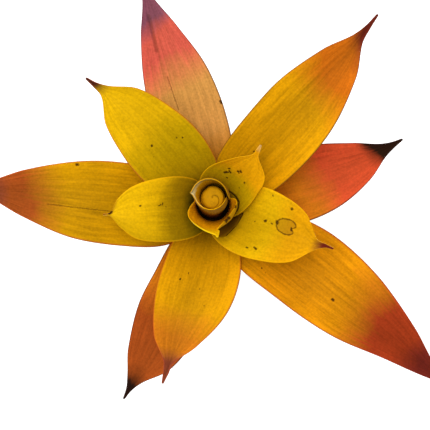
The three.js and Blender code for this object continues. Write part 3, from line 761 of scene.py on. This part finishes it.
# Each bract: the azimuth of its foot, the height of that above the head's base, its seat on the stem, its
# length, sway, rise and curl, and its half widths left and right at the stations, in mm and degrees.
BRACTS = [
    dict(azimuth=107, above=4.5, seat=11, length=109, sway=2, rise=(50, 12, -8), curl=(50, 24, 40),
         left=(9.5, 12, 17, 14.5, 9.1, 4.1, 1.9), right=(9.5, 17.5, 19.2, 16.8, 9.1, 3.8, 1.6),
         creases=[((70, 4), (90, 2.2), 0.3), ((45, 2.3), (61, 2.7), 0.15)]),
    dict(azimuth=47, above=15.5, seat=11, length=109.5, sway=6.2, rise=(55, 16, 2), curl=(50, 26, 50),
         left=(9.5, 15.3, 16.9, 16, 10.1, 3.8, 1.4), right=(9.5, 16, 18.4, 16.9, 10.2, 2.6, 1.1)),
    dict(azimuth=14.5, above=2, seat=11, length=92.5, sway=15, rise=(50, 12, -5), curl=(50, 24, 40),
         left=(9.5, 14, 15.2, 15.1, 9, 3.8, 1.6), right=(9.5, 17.2, 20, 18.1, 11.1, 4.3, 1.8)),
    dict(azimuth=-37.5, above=10, seat=11, length=138.5, sway=1, rise=(50, 7, -12), curl=(50, 24, 40),
         left=(9.5, 17.5, 23.2, 20.1, 11.6, 4.6, 1.9), right=(9.5, 16.5, 16.8, 14.9, 8.2, 4.7, 2.3),
         creases=[((89, 5), (105, 2), 0.3), ((105, 2), (123, -0.2), 0.3)]),
    dict(azimuth=-112, above=0, seat=11, length=100, sway=-9, rise=(48, 8, -10), curl=(50, 24, 40),
         left=(9.5, 15, 18, 18, 13, 4.5, 1.4), right=(9.5, 13, 14.5, 15, 10.5, 4.9, 1.8)),
    dict(azimuth=-104.5, above=14, seat=11, length=82, sway=-4, rise=(55, 18, -5), curl=(50, 28, 60),
         left=(9.5, 18, 21.5, 19.3, 10.2, 1.9, 1.1), right=(9.5, 14, 16, 15.5, 11, 3.3, 1.6)),
    dict(azimuth=176, above=8.5, seat=11, length=112, rise=(50, 10, -8), curl=(50, 24, 40),
         left=(9.5, 21.5, 22.8, 20, 11.6, 5.3, 2.2), right=(9.5, 15, 17.5, 16, 10.5, 5.3, 2.4),
         creases=[((43.8, 7), (72.6, 4.3), 0.2)]),
    dict(azimuth=131, above=18, seat=11, length=78.5, sway=13, rise=(60, 24, 5), curl=(55, 28, 55),
         left=(10.5, 15, 17.3, 16, 11.2, 2.6, 1.2), right=(10.5, 16, 18, 16.1, 11.7, 4.2, 1.4)),
    dict(azimuth=187, above=21, seat=10.5, length=54, sway=-5, rise=(82, 40, -10), curl=(78, 34, 35),
         left=(13.5, 14.5, 15.5, 14.5, 12, 6, 1), right=(13.5, 15, 16, 15, 12, 7, 1)),
    dict(azimuth=-21, above=23.5, seat=10, length=62, sway=2, rise=(82, 36, -6), curl=(78, 34, 50),
         left=(13.5, 16, 16.5, 15.5, 11, 2, 1), right=(13.5, 16.5, 18, 17, 12.5, 4, 1),
         hollow=((-15, -14, -12, -8.5, -5, -2, 1.5, 3), (0, 11.5, 13, 13, 13.5, 13.5, 14.5, 0))),
    dict(azimuth=44, above=26, seat=9, length=40, sway=21, rise=(85, 50, 16), curl=(82, 40, 45),
         left=(12.5, 15, 15.5, 13.5, 7.5, 1.5, 1), right=(12.5, 13.5, 13, 11.5, 9.5, 2, 1)),
    dict(azimuth=-84, above=29, seat=8, length=38, rise=(89, 87, 60), curl=(140, 128, 36),
         flare=(0.5, -1), gloss=0.04, wave=0.1, stations=(0, 0.2, 0.45, 0.65, 0.78, 0.87, 0.93, 0.97, 1),
         left=(19, 19.5, 18.5, 15.5, 15, 1.5, 1.5, 1), right=(19, 19.5, 18.5, 15.5, 15, 13.5, 7.5, 1)),
    dict(azimuth=178, above=32, seat=6, length=50, rise=(89, 95, 84), curl=(150, 200, 200),
         lean=(-2.5, 3), flare=(-1.5, 0.5), roll=6, spiral=0.5, gloss=0.04, wave=0.1,
         stations=(0, 0.3, 0.6, 0.78, 0.86, 0.91, 0.95, 0.98, 1),
         left=(16, 17, 18.5, 19, 19, 16, 4, 1.5), right=(16, 17, 18.5, 19, 19, 18, 13, 2)),
]
# How each bract is coloured: the paints of its foot, its body, its flush and its tip, and the two turns, the
# shares of its length where the flush and the tip begin. The keel is how much darker the middle is than the
# edges, the lead how far the colours run ahead down the left edge, the shade how much darker the left edge
# is painted (the right one, below 0), a painted shade on the side that lies in shadow. The rim is the paint
# of a thin line along the edges, where it is gold partly a painted highlight. Marks are brown spots and
# cracks,
# and a few are lines of painted shadow: millimetres along and across (left is positive) from one end to the
# other, a half width and, for a faint one, its strength. The scar is the place of a healed bite, and the back
# has paints of its own where it shows, dark brown on the rolled inner bracts, partly painted shade.
FLUSH = [
    dict(paints=("amber", "tan", "coral", "plum"), turns=(0.56, 0.78), keel=0.15, lead=0.02, veins=1,
         rim="maroon", marks=[(42.6, -18.6, 43.4, -18.4, 0.5), (45, 2.3, 61, 2.7, 0.2, 0.55),
                              # The two faint marks from 74 and 78 mm along are painted shadow in the crease
                              # there.
                              (74, 3.8, 90, 2.4, 0.7, 0.4), (78, 3.4, 91, 2.3, 0.3, 0.4)]),
    dict(paints=("gold", "marigold", "tangerine", "wine"), turns=(0.62, 0.84), keel=0.4, lead=-0.04,
         veins=1, rim="maroon", marks=[(28, 3, 28.2, 3, 0.25)]),
    dict(paints=("saffron", "orange", "ember", "soot"), turns=(0.5, 0.8), keel=0.25, lead=0.03, veins=0.8,
         rim="maroon"),
    dict(paints=("gold", "saffron", "brick", "wine"), turns=(0.59, 0.8), keel=0.25, veins=1.1,
         rim="brick", marks=[(67.4, -1.2, 67.6, -1.2, 0.5), (33, -9.8, 33.3, -10, 0.2),
                             (35.7, -10.5, 36, -10.6, 0.12)]),
    dict(paints=("amber", "orange", "rust", "soot"), turns=(0.48, 0.86), keel=0.3, veins=0.9,
         rim="maroon"),
    dict(paints=("gold", "marigold", "orange", "russet"), turns=(0.64, 0.83), keel=0.35, veins=0.75,
         rim="brick", marks=[(30, -3, 30.5, -3, 0.2), (34, -6, 34.6, -6.2, 0.2), (36, 4, 36.4, 4, 0.12),
                             (43, 8, 43.4, 8, 0.12)]),
    dict(paints=("honey", "gold", "rust", "russet"), turns=(0.66, 0.84), keel=0.35, lead=0.02, shade=0.2,
         veins=1.1, rim="rust", marks=[(60.5, -14.6, 60.9, -14.6, 0.5), (43, 6.4, 73, 5, 0.2, 0.55)]),
    dict(paints=("mustard", "lemon", "primrose", "maroon"), turns=(0.5, 0.9), keel=0.2, shade=-0.1,
         veins=0.7, rim="rust", marks=[(37.2, 3, 37.6, 2.8, 0.3), (32.2, -8, 32.5, -8, 0.2),
                                       (30.6, -10.2, 30.8, -10.1, 0.25), (33, 5.7, 33.2, 5.6, 0.12)]),
    dict(paints=("khaki", "mustard", "primrose", "chestnut"), turns=(0.48, 0.96), keel=0.1, lead=-0.06,
         shade=0.35, veins=0.6, rim="gold",
         marks=[(28.7, -2.4, 27.8, -2.8, 0.22), (26.9, -2.6, 26.6, -3.3, 0.22), (37.5, -2.9, 37.8, -3, 0.25),
                (24.8, -1.6, 25, -1.6, 0.2), (50.3, -1, 51.1, -0.4, 0.5)]),
    dict(paints=("mustard", "primrose", "marigold", "wine"), turns=(0.6, 0.89), keel=0.25, veins=0.5,
         rim="gold", scar=(39.3, 2.4),
         marks=[(29.3, 1.4, 29.9, 1.6, 0.4), (31, -11.8, 31.6, -12, 0.35), (30.2, -11.6, 30.2, -11.5, 0.25),
                (27.1, -12.9, 27.7, -13, 0.25), (40.1, 10.4, 40.3, 10.7, 0.4), (30.7, 13.6, 30.7, 13.6, 0.25),
                (24.1, -0.5, 24.3, -0.2, 0.2), (32.8, 1.5, 33.3, 1.2, 0.2), (35.2, 3, 35.4, 2.3, 0.5),
                # The three marks from (10, -14.2) on draw a dark line along the brink of the hollow: painted
                # shade at its edge.
                (42.1, 2.4, 42.8, 1.3, 0.3), (10, -14.2, 13, -11.5, 0.4),
                (13, -11.5, 13.4, -5.1, 0.3), (13.4, -5.1, 14.4, 1.2, 0.4)]),
    dict(paints=("ochre", "lemon", "marigold", "cream"), turns=(0.55, 0.95), keel=0.15, veins=0.5,
         rim="gold",
         marks=[(18.4, 6.9, 19.5, 6.2, 0.45), (19.5, 6.1, 20.1, 5.5, 0.3), (22.1, 6.5, 22.3, 6.3, 0.35),
                (20.4, 4.5, 21, 5.6, 0.35), (23.4, 2.3, 23.7, 2.3, 0.4), (24.2, 1.2, 24.6, 1.6, 0.4),
                (23, 1.6, 23.1, 1.6, 0.25), (16, 4.4, 16.1, 4.5, 0.3), (20.8, -3.1, 21.1, -3.1, 0.3),
                (16.2, -3, 16.3, -3, 0.25), (7.7, 5.3, 8.3, 6.1, 0.5), (7.1, 6.9, 7.4, 7.5, 0.5),
                # The six marks from (7.1, 5.5) on draw one dark line along the cup's edge: painted shadow in
                # the crevice between the cup and this bract.
                (7.1, 5.5, 3.3, 1.8, 0.5), (3.3, 1.8, 7.6, -1.1, 0.6), (7.6, -1.1, 9.7, -4.3, 0.6),
                (9.7, -4.3, 10.5, -7.8, 0.6), (10.5, -7.8, 8.9, -10.3, 0.5), (8.9, -10.3, 6.1, -11.9, 0.5)]),
    dict(paints=("gold", "marigold", "yolk", "primrose"), turns=(0.42, 0.9), veins=0.4,
         rim="gold", back=("umber", "umber", "bronze", "sun"),
         marks=[(30.3, 13.5, 30.4, 13.3, 0.4), (31.3, 7.6, 31.5, 7.2, 0.35), (31.7, 6.4, 31.7, 5.4, 0.35)]),
    dict(paints=("saffron", "primrose", "gold", "straw"), turns=(0.8, 0.99), shade=-0.8,
         veins=0.4, rim="gold", back=("chestnut", "umber", "umber", "bronze")),
]
OUTER_COUNT = 7
FOOT_END = 0.1
BODY_START = 0.3
FLUSH_WIDTH = 0.08
TIP_WIDTH = 0.04
VEIN_SPACING = 2
FINE_SPACING = 0.7
VEIN_LENGTH = 20
GRAIN_SIZE = 1
MARK_FADE = (0.8, 2)
SCAR_RADIUS = 3.9
SCAR_WAVES = [(2, 0, 0.65), (1, 0.35, 0.5)]
NOTCH_ANGLE = -0.09
NOTCH_WIDTH = 0.23
NOTCH_DEPTH = 1.7
WAX_TINT = "ffc050"
# The dark brown of spots and cracks, and of the marks that are painted shadow lines.
STAIN_AND_SHADOW_COLOUR = "2c0f06"
BACK_COLOUR = "a07c30"


def plan_place(down, sideways):
    """A place on a blade's Plan map, from millimetres along it and across it."""
    return 0.5 + sideways / MAP_SIZE, down / MAP_SIZE, 0


def near_mark(tree, plan, mark):
    """A mark's strength on the mark, and 0 away from it, by the distance to the line between its ends."""
    down, sideways, far_down, far_sideways, half, *strength = mark
    start = plan_place(down, sideways)
    reach = np.subtract(plan_place(far_down, far_sideways), start)
    offset = node(tree, "VectorMath", {0: plan, 1: start}, operation="SUBTRACT")[0]
    ahead = tuple(reach / max(reach @ reach, 1e-9))
    share = node(tree, "VectorMath", {0: offset, 1: ahead}, operation="DOT_PRODUCT")["Value"]
    share = node(tree, "Math", {0: share, 1: 1.0}, operation="MULTIPLY", use_clamp=True)[0]
    foot = node(tree, "VectorMath", {0: tuple(reach), "Scale": share}, operation="SCALE")[0]
    apart = node(tree, "VectorMath", {0: offset, 1: foot}, operation="DISTANCE")["Value"]
    near, far = [half * times / MAP_SIZE for times in MARK_FADE]
    return node(tree, "MapRange", {
        "Value": apart, "From Min": near, "From Max": far, "To Min": strength[0] if strength else 1,
        "To Max": 0,
    })[0]


def healed_scar(tree, plan, place):
    """A healed bite: its brown outline, and the corky patch inside. The outline is a polar curve in mm,
    r = 3.9 + 0.65 cos 2a + 0.5 cos(a + 20 deg) - 1.7 exp(-((a + 5 deg) / 13 deg)^2)."""
    offset = node(tree, "VectorMath", {0: plan, 1: plan_place(*place)}, operation="SUBTRACT")[0]
    parts = node(tree, "SeparateXYZ", {0: offset})
    angle = node(tree, "Math", {0: parts["X"], 1: parts["Y"]}, operation="ARCTAN2")[0]
    reach = SCAR_RADIUS
    for times, ahead, height in SCAR_WAVES:
        turned = node(tree, "Math", {0: angle, 1: times, 2: ahead}, operation="MULTIPLY_ADD")[0]
        wave = node(tree, "Math", {0: turned}, operation="COSINE")[0]
        reach = node(tree, "Math", {0: wave, 1: height, 2: reach}, operation="MULTIPLY_ADD")[0]
    notch = node(tree, "Math", {0: angle, 1: 1 / NOTCH_WIDTH, 2: -NOTCH_ANGLE / NOTCH_WIDTH},
                 operation="MULTIPLY_ADD")[0]
    notch = node(tree, "Math", {0: notch, 1: notch}, operation="MULTIPLY")[0]
    notch = node(tree, "Math", {0: notch, 1: -1}, operation="MULTIPLY")[0]
    notch = node(tree, "Math", {0: notch}, operation="EXPONENT")[0]
    reach = node(tree, "Math", {0: notch, 1: -NOTCH_DEPTH, 2: reach}, operation="MULTIPLY_ADD")[0]
    size = node(tree, "VectorMath", {0: offset}, operation="LENGTH")["Value"]
    size = node(tree, "Math", {0: size, 1: MAP_SIZE}, operation="MULTIPLY")[0]
    past = node(tree, "Math", {0: size, 1: reach}, operation="SUBTRACT")[0]
    apart = node(tree, "Math", {0: past}, operation="ABSOLUTE")[0]
    fades = ((apart, 0.1, 0.5, 0.85), (past, -0.4, 0, 0.4))
    return [node(tree, "MapRange", {
        "Value": value, "From Min": near, "From Max": far, "To Min": most, "To Max": 0,
    })[0] for value, near, far, most in fades]


def growth(paints, turns):
    """The stops of a bract's colours: the foot's paint at 0.1, the body's from 0.3, then the flush and the
    tip, each pure a little past the turn where it begins, and mixed into the one before it there."""
    foot, body, flush, tip = [PAINTS[paint] for paint in paints]
    first, last = turns
    return [
        (FOOT_END, foot), (BODY_START, body), (first - FLUSH_WIDTH, body), (first + FLUSH_WIDTH, flush),
        (last - TIP_WIDTH, flush), (min(last + TIP_WIDTH, 1), tip),
    ]


def bract_material(name, shape, flush):
    """Bract skin: a smooth, thick wax over pigment that differs from foot to tip and from edge to edge. The
    wax gives a broad soft gloss, which parallel veins break up: bundles 2 mm apart, and fine ones 0.7 mm
    apart, about as fine as the picture can show. The pigment is grainy, in cells 1 mm wide. Spots and
    cracks of age are brown and dull. Painted light lies over the pigment too: painted shade down one edge,
    inside the hollow and on dark backs, painted shadow in some marks, and partly a painted highlight in gold
    rims."""
    material, tree, place = new_material(name)
    along, across, below = [
        node(tree, "Attribute", attribute_name=key)["Fac"] for key in ("along", "across", "under")]
    plan = node(tree, "UVMap", uv_map="Plan")[0]
    veins, fine = [
        streaks_along(tree, along, across, max(shape["left"]) / spacing, shape["length"] / VEIN_LENGTH, 2)
        for spacing in (VEIN_SPACING, FINE_SPACING)]
    clouds = node(tree, "TexNoise", {"Vector": place, "Scale": 70, "Detail": 3})[0]
    grain = node(tree, "TexNoise", {"Vector": place, "Scale": 1000 / GRAIN_SIZE, "Detail": 2})[0]
    at = -0.1
    for part, weight in ((clouds, 0.13), (veins, 0.07), (along, 1)):
        at = node(tree, "Math", {0: part, 1: weight, 2: at}, operation="MULTIPLY_ADD")[0]
    lead = flush.get("lead", 0)
    sooner = node(tree, "Math", {0: across, 1: lead, 2: at}, operation="MULTIPLY_ADD")[0]
    colour = node(tree, "ValToRGB", {0: sooner}, growth(flush["paints"], flush["turns"]))[0]
    outward = node(tree, "Math", {0: across}, operation="ABSOLUTE")[0]
    rim = node(tree, "MapRange", {"Value": outward, "From Min": 0.95, "From Max": 0.99, "To Max": 0.7})[0]
    outward = node(tree, "Math", {0: outward, 1: 1.5}, operation="POWER")[0]
    keel = 1 - flush.get("keel", 0)
    shades = [node(tree, "MapRange", {"Value": outward, "To Min": keel, "To Max": 1})[0]]
    # The shade darkens the left edge (the right, below 0): painted shade on the side that lies in shadow.
    if "shade" in flush:
        side = node(tree, "Math", {0: across, 1: flush["shade"]}, operation="MULTIPLY")[0]
        shades.append(node(tree, "MapRange", {"Value": side, "To Min": 1, "To Max": 0})[0])
    contrasts = [
        (veins, 0.6 * flush["veins"]), (fine, 0.35 * flush["veins"]), (clouds, 0.3), (grain, 0.45)]
    tone = 0.8 - sum(contrast for _, contrast in contrasts) / 2
    for noise, contrast in contrasts:
        tone = node(tree, "Math", {0: noise, 1: contrast, 2: tone}, operation="MULTIPLY_ADD")[0]
    for shade in (*shades, tone):
        colour = node(tree, "VectorMath", {0: colour, "Scale": shade}, operation="SCALE")[0]
    # The rim is a thin line of paint along each edge: a darker edge colour on the outer bracts, and where it
    # is gold partly a painted highlight on the rounded edge.
    layers = [(rim, linear(PAINTS[flush["rim"]]))]
    # In the hollow of bract 10 the paint runs from near black just inside its brink to brown further in:
    # painted shade in the dent.
    if "hollow" in shape:
        depth = node(tree, "Attribute", attribute_name="hollow")["Fac"]
        inside = node(tree, "Math", {0: depth, 1: 0.02}, operation="GREATER_THAN")[0]
        stops = zip((0.15, 0.3, 0.6, 0.97), ("night", "chestnut", "bronze", "umber"))
        foot = node(tree, "ValToRGB", {0: depth}, [(share, PAINTS[paint]) for share, paint in stops])[0]
        layers.append((inside, foot))
    noise = node(tree, "TexNoise", {"Vector": plan, "Scale": 260, "Detail": 2})["Color"]
    ragged = node(tree, "VectorMath", {0: noise, 1: (0.5, 0.5, 0.5)}, operation="SUBTRACT")[0]
    ragged = node(tree, "VectorMath", {0: ragged, "Scale": 0.005}, operation="SCALE")[0]
    ragged = node(tree, "VectorMath", {0: plan, 1: ragged}, operation="ADD")[0]
    flecks = node(tree, "TexVoronoi", {"Vector": plan, "Scale": 45}, feature="F1")
    fleck = node(tree, "MapRange", {
        "Value": flecks["Distance"], "From Min": 0.02, "From Max": 0.07, "To Min": 0.4, "To Max": 0,
    })[0]
    chance = node(tree, "SeparateXYZ", {0: flecks["Color"]})["X"]
    chance = node(tree, "Math", {0: chance, 1: 0.6}, operation="GREATER_THAN")[0]
    stain_and_shadow = node(tree, "Math", {0: fleck, 1: chance}, operation="MULTIPLY")[0]
    # Marks are real spots and cracks, and some are painted shadow lines in creases and crevices.
    stains_and_shadows = [near_mark(tree, ragged, mark) for mark in flush.get("marks", [])]
    if "scar" in flush:
        outline, patch = healed_scar(tree, ragged, flush["scar"])
        stains_and_shadows.append(outline)
        layers.append((patch, linear(PAINTS["umber"])))
    for more in stains_and_shadows:
        stain_and_shadow = node(tree, "Math", {0: stain_and_shadow, 1: more}, operation="MAXIMUM")[0]
    for share, layer in layers:
        colour = node(tree, "Mix", {0: share, 6: colour, 7: layer}, data_type="RGBA")[2]
    # Bracts 12 and 13 have back paints of their own: dark brown, partly painted shade on their outer walls.
    if "back" in flush:
        back = node(tree, "ValToRGB", {0: at}, growth(flush["back"], flush["turns"]))[0]
    else:
        back = node(tree, "Mix", {0: 0.3, 6: colour, 7: linear(BACK_COLOUR)}, data_type="RGBA")[2]
    dark = node(tree, "Math", {0: stain_and_shadow, 1: 0.92}, operation="MULTIPLY")[0]
    for share, layer in ((below, back), (dark, linear(STAIN_AND_SHADOW_COLOUR))):
        colour = node(tree, "Mix", {0: share, 6: colour, 7: layer}, data_type="RGBA")[2]
    relief = node(tree, "Math", {0: stain_and_shadow, 1: -0.8, 2: veins}, operation="MULTIPLY_ADD")[0]
    surface = {
        "Base Color": colour, "Roughness": 0.45, "Specular IOR Level": shape.get("gloss", 0.15),
        "Specular Tint": linear(WAX_TINT),
    }
    return finished(material, surface, relief, 0.3, 0.0004)


for count, (form, flush) in enumerate(zip(BRACTS, FLUSH), 1):
    shape = dict(form, base=HEAD_BASE_Z + form["above"])
    skin = bract_material(f"bract skin {count}", shape, flush)
    points, faces, values, plan = blade(
        shape, 96, 60, ribs=6, relief=0.05, groove=0.12, wave=form.get("wave", 0.25), seed=300 + count)
    slot = "outer_bract" if count <= OUTER_COUNT else "inner_bract"
    make_piece(f"waxy_bract_{count:02}", points, faces, skin, slot, [f"bract_{count:02}"], values, plan)

# The bud: the youngest bract, still rolled on itself in the middle of the head. Its outer edge laps over
# the turn below, which shows as a spiral line on its low round top.
BUD_BASE_Z = HEAD_BASE_Z + 34.8
BUD_TOP_Z = HEAD_BASE_Z + 74
BUD_RADIUS = 5.1
BUD_FOOT = HEAD_CENTRE + [-0.25, 0.5]
BUD_LEAN = np.array([0.18, 1.63])
BUD_LAP = 0.07
BUD_LAP_AZIMUTH = 125
BUD_TURNS = 0.7
BUD_SIDES = 96
BUD_TOP_SIZES = (0.84, 0.06, 24)
BUD_DOME = 1.1
BUD_STEP = 0.4
BUD_CREASE_WIDTH = 0.5
BUD_CREASE_DEPTH = 0.15
BUD_PROFILE = np.array([
    (0, 0.62), (0.1, 0.75), (0.35, 0.84), (0.6, 0.9), (0.85, 0.97), (0.92, 1), (0.935, 0.99), (0.95, 0.9),
    (1, 0.88),
])


def rolled_bud():
    """Level rings, each a spiral: the reach grows from 1 - lap to 1 once round, with a soft step back. Their
    middles lean over evenly with height, as the roll round them does. On the top, rings of falling size r
    rise as 1.1 (1 - r^2), and step down 0.4 mm along the spiral turn = -turns r."""
    share = np.union1d(np.linspace(0, 1, 60), BUD_PROFILE[:, 0])
    top = np.linspace(*BUD_TOP_SIZES)
    size = np.concatenate([np.interp(share, BUD_PROFILE[:, 0], BUD_PROFILE[:, 1]), top])[:, None]
    lift = np.concatenate([0 * share, BUD_DOME * (1 - top**2)])[:, None]
    on_top = np.concatenate([0 * share, smooth_step(1 - top, 0.14, 0.3)])[:, None]
    share = np.concatenate([share, 0 * top + 1])[:, None]
    turn = np.linspace(0, 1, BUD_SIDES, endpoint=False)[None, :]
    reach = BUD_RADIUS * size * (1 - BUD_LAP * (1 - turn) - BUD_LAP * smooth_step(turn, 0.94, 1))
    around = 2 * np.pi * turn + np.radians(BUD_LAP_AZIMUTH)
    fold = (turn + BUD_TURNS * size) % 1
    apart = np.minimum(fold, 1 - fold) * 2 * np.pi * size * BUD_RADIUS
    crease = np.exp(-(apart / BUD_CREASE_WIDTH) ** 2) * on_top
    height = BUD_BASE_Z + (BUD_TOP_Z - BUD_BASE_Z) * share + lift
    height = height + BUD_STEP * on_top * fold * smooth_step(1 - fold, 0, 0.05) - BUD_CREASE_DEPTH * crease
    middle = BUD_FOOT[:, None, None] + BUD_LEAN[:, None, None] * share
    points, faces = closed_rings(about_axis(reach, around, height, middle)[:, ::-1])
    values = {"rise": np.repeat(share, BUD_SIDES, 1), "crease": crease}
    return points, faces, {key: np.append(amounts[:, ::-1], [0, 1]) for key, amounts in values.items()}


def bud_material():
    """The same wax over pigment as the inner bracts, amber at the top and a little duller, for its skin is
    still soft. The dark brown in the fold and down in the hollow is painted shade."""
    material, tree, place = new_material("rolled bud skin")
    rise, crease = [node(tree, "Attribute", attribute_name=key)["Fac"] for key in ("rise", "crease")]
    clouds = node(tree, "TexNoise", {"Vector": place, "Scale": 400, "Detail": 3})[0]
    at = -0.15
    for part, weight in ((clouds, 0.3), (rise, 1)):
        at = node(tree, "Math", {0: part, 1: weight, 2: at}, operation="MULTIPLY_ADD")[0]
    # Dark brown low on the bud, where it stands deep in the roll, is painted shade.
    stops = zip((0.5, 0.8, 0.9, 0.96, 1), ("dusk", "umber", "gold", "bronze", "ochre"))
    colour = node(tree, "ValToRGB", {0: at}, [(share, PAINTS[paint]) for share, paint in stops])[0]
    # Darkening along the spiral fold is painted shade.
    crease = node(tree, "Math", {0: crease, 1: 0.35}, operation="MULTIPLY")[0]
    colour = node(tree, "Mix", {0: crease, 6: colour, 7: linear(PAINTS["dusk"])}, data_type="RGBA")[2]
    surface = {
        "Base Color": colour, "Roughness": 0.5, "Specular IOR Level": 0.15, "Specular Tint": linear(WAX_TINT),
    }
    return finished(material, surface, clouds, 0.3, 0.0004)


points, faces, values = rolled_bud()
make_piece("rolled_bud", points, faces, bud_material(), "inner_bract", ["bud"], values)

# The studio: a wide white floor, a bright even dome, a large soft lamp up to the left of the photograph and
# a smaller one overhead, and the camera straight above the star, as the photograph was taken.
FLOOR_HALF = 3
FLOOR_GLOW = 0.5
DOME_LIGHT = 0.62
LAMP_AIM = (0, 0, 0.14)
LAMPS = [("key lamp", (-0.45, 0.5, 0.95), 1, 4.4), ("overhead lamp", (-0.1, 0.1, 1.35), 0.6, 8)]
CAMERA_PLACE = (-0.00407, -0.01065, 0.450)
LENS = 50.41

board, tree, place = new_material("matt white board")
grain = node(tree, "TexNoise", {"Vector": place, "Scale": 400, "Detail": 2})[0]
tone = node(tree, "ValToRGB", {0: grain}, [(0, "f4f4f4"), (1, "fafafa")])[0]
mesh = bpy.data.meshes.new("studio_floor")
places = [(x, y, 0) for y in (-FLOOR_HALF, 0, FLOOR_HALF) for x in (-FLOOR_HALF, 0, FLOOR_HALF)]
mesh.from_pydata(places, [], [(k, k + 1, k + 4, k + 3) for k in (0, 1, 3, 4)])
mesh.materials.append(finished(board, {
    "Base Color": tone, "Roughness": 0.9, "Specular IOR Level": 0.1, "Emission Color": (1, 1, 1, 1),
    "Emission Strength": FLOOR_GLOW,
}))
new_object("studio_floor", mesh)

world = bpy.data.worlds.new("white dome")
bpy.context.scene.world = world
world.use_nodes = True
world.node_tree.nodes.clear()
sky = node(world.node_tree, "Background", {0: (1, 1, 1, 1), 1: DOME_LIGHT})
node(world.node_tree, "OutputWorld", {"Surface": sky[0]})

aim = new_object("lamp aim", None)
aim.location = LAMP_AIM
for name, place, size, power in LAMPS:
    lamp_data = bpy.data.lights.new(name, "AREA")
    lamp_data.size = size
    lamp_data.energy = power
    lamp = new_object(name, lamp_data)
    lamp.location = place
    hold = lamp.constraints.new("TRACK_TO")
    hold.target = aim
    hold.track_axis = "TRACK_NEGATIVE_Z"
    hold.up_axis = "UP_Y"

camera_data = bpy.data.cameras.new("view")
camera_data.sensor_width = 36
camera_data.lens = LENS
camera_data.clip_start = 0.01
camera = new_object("view", camera_data)
camera.location = CAMERA_PLACE
bpy.context.scene.camera = camera
bpy.context.scene.view_settings.view_transform = "Standard"
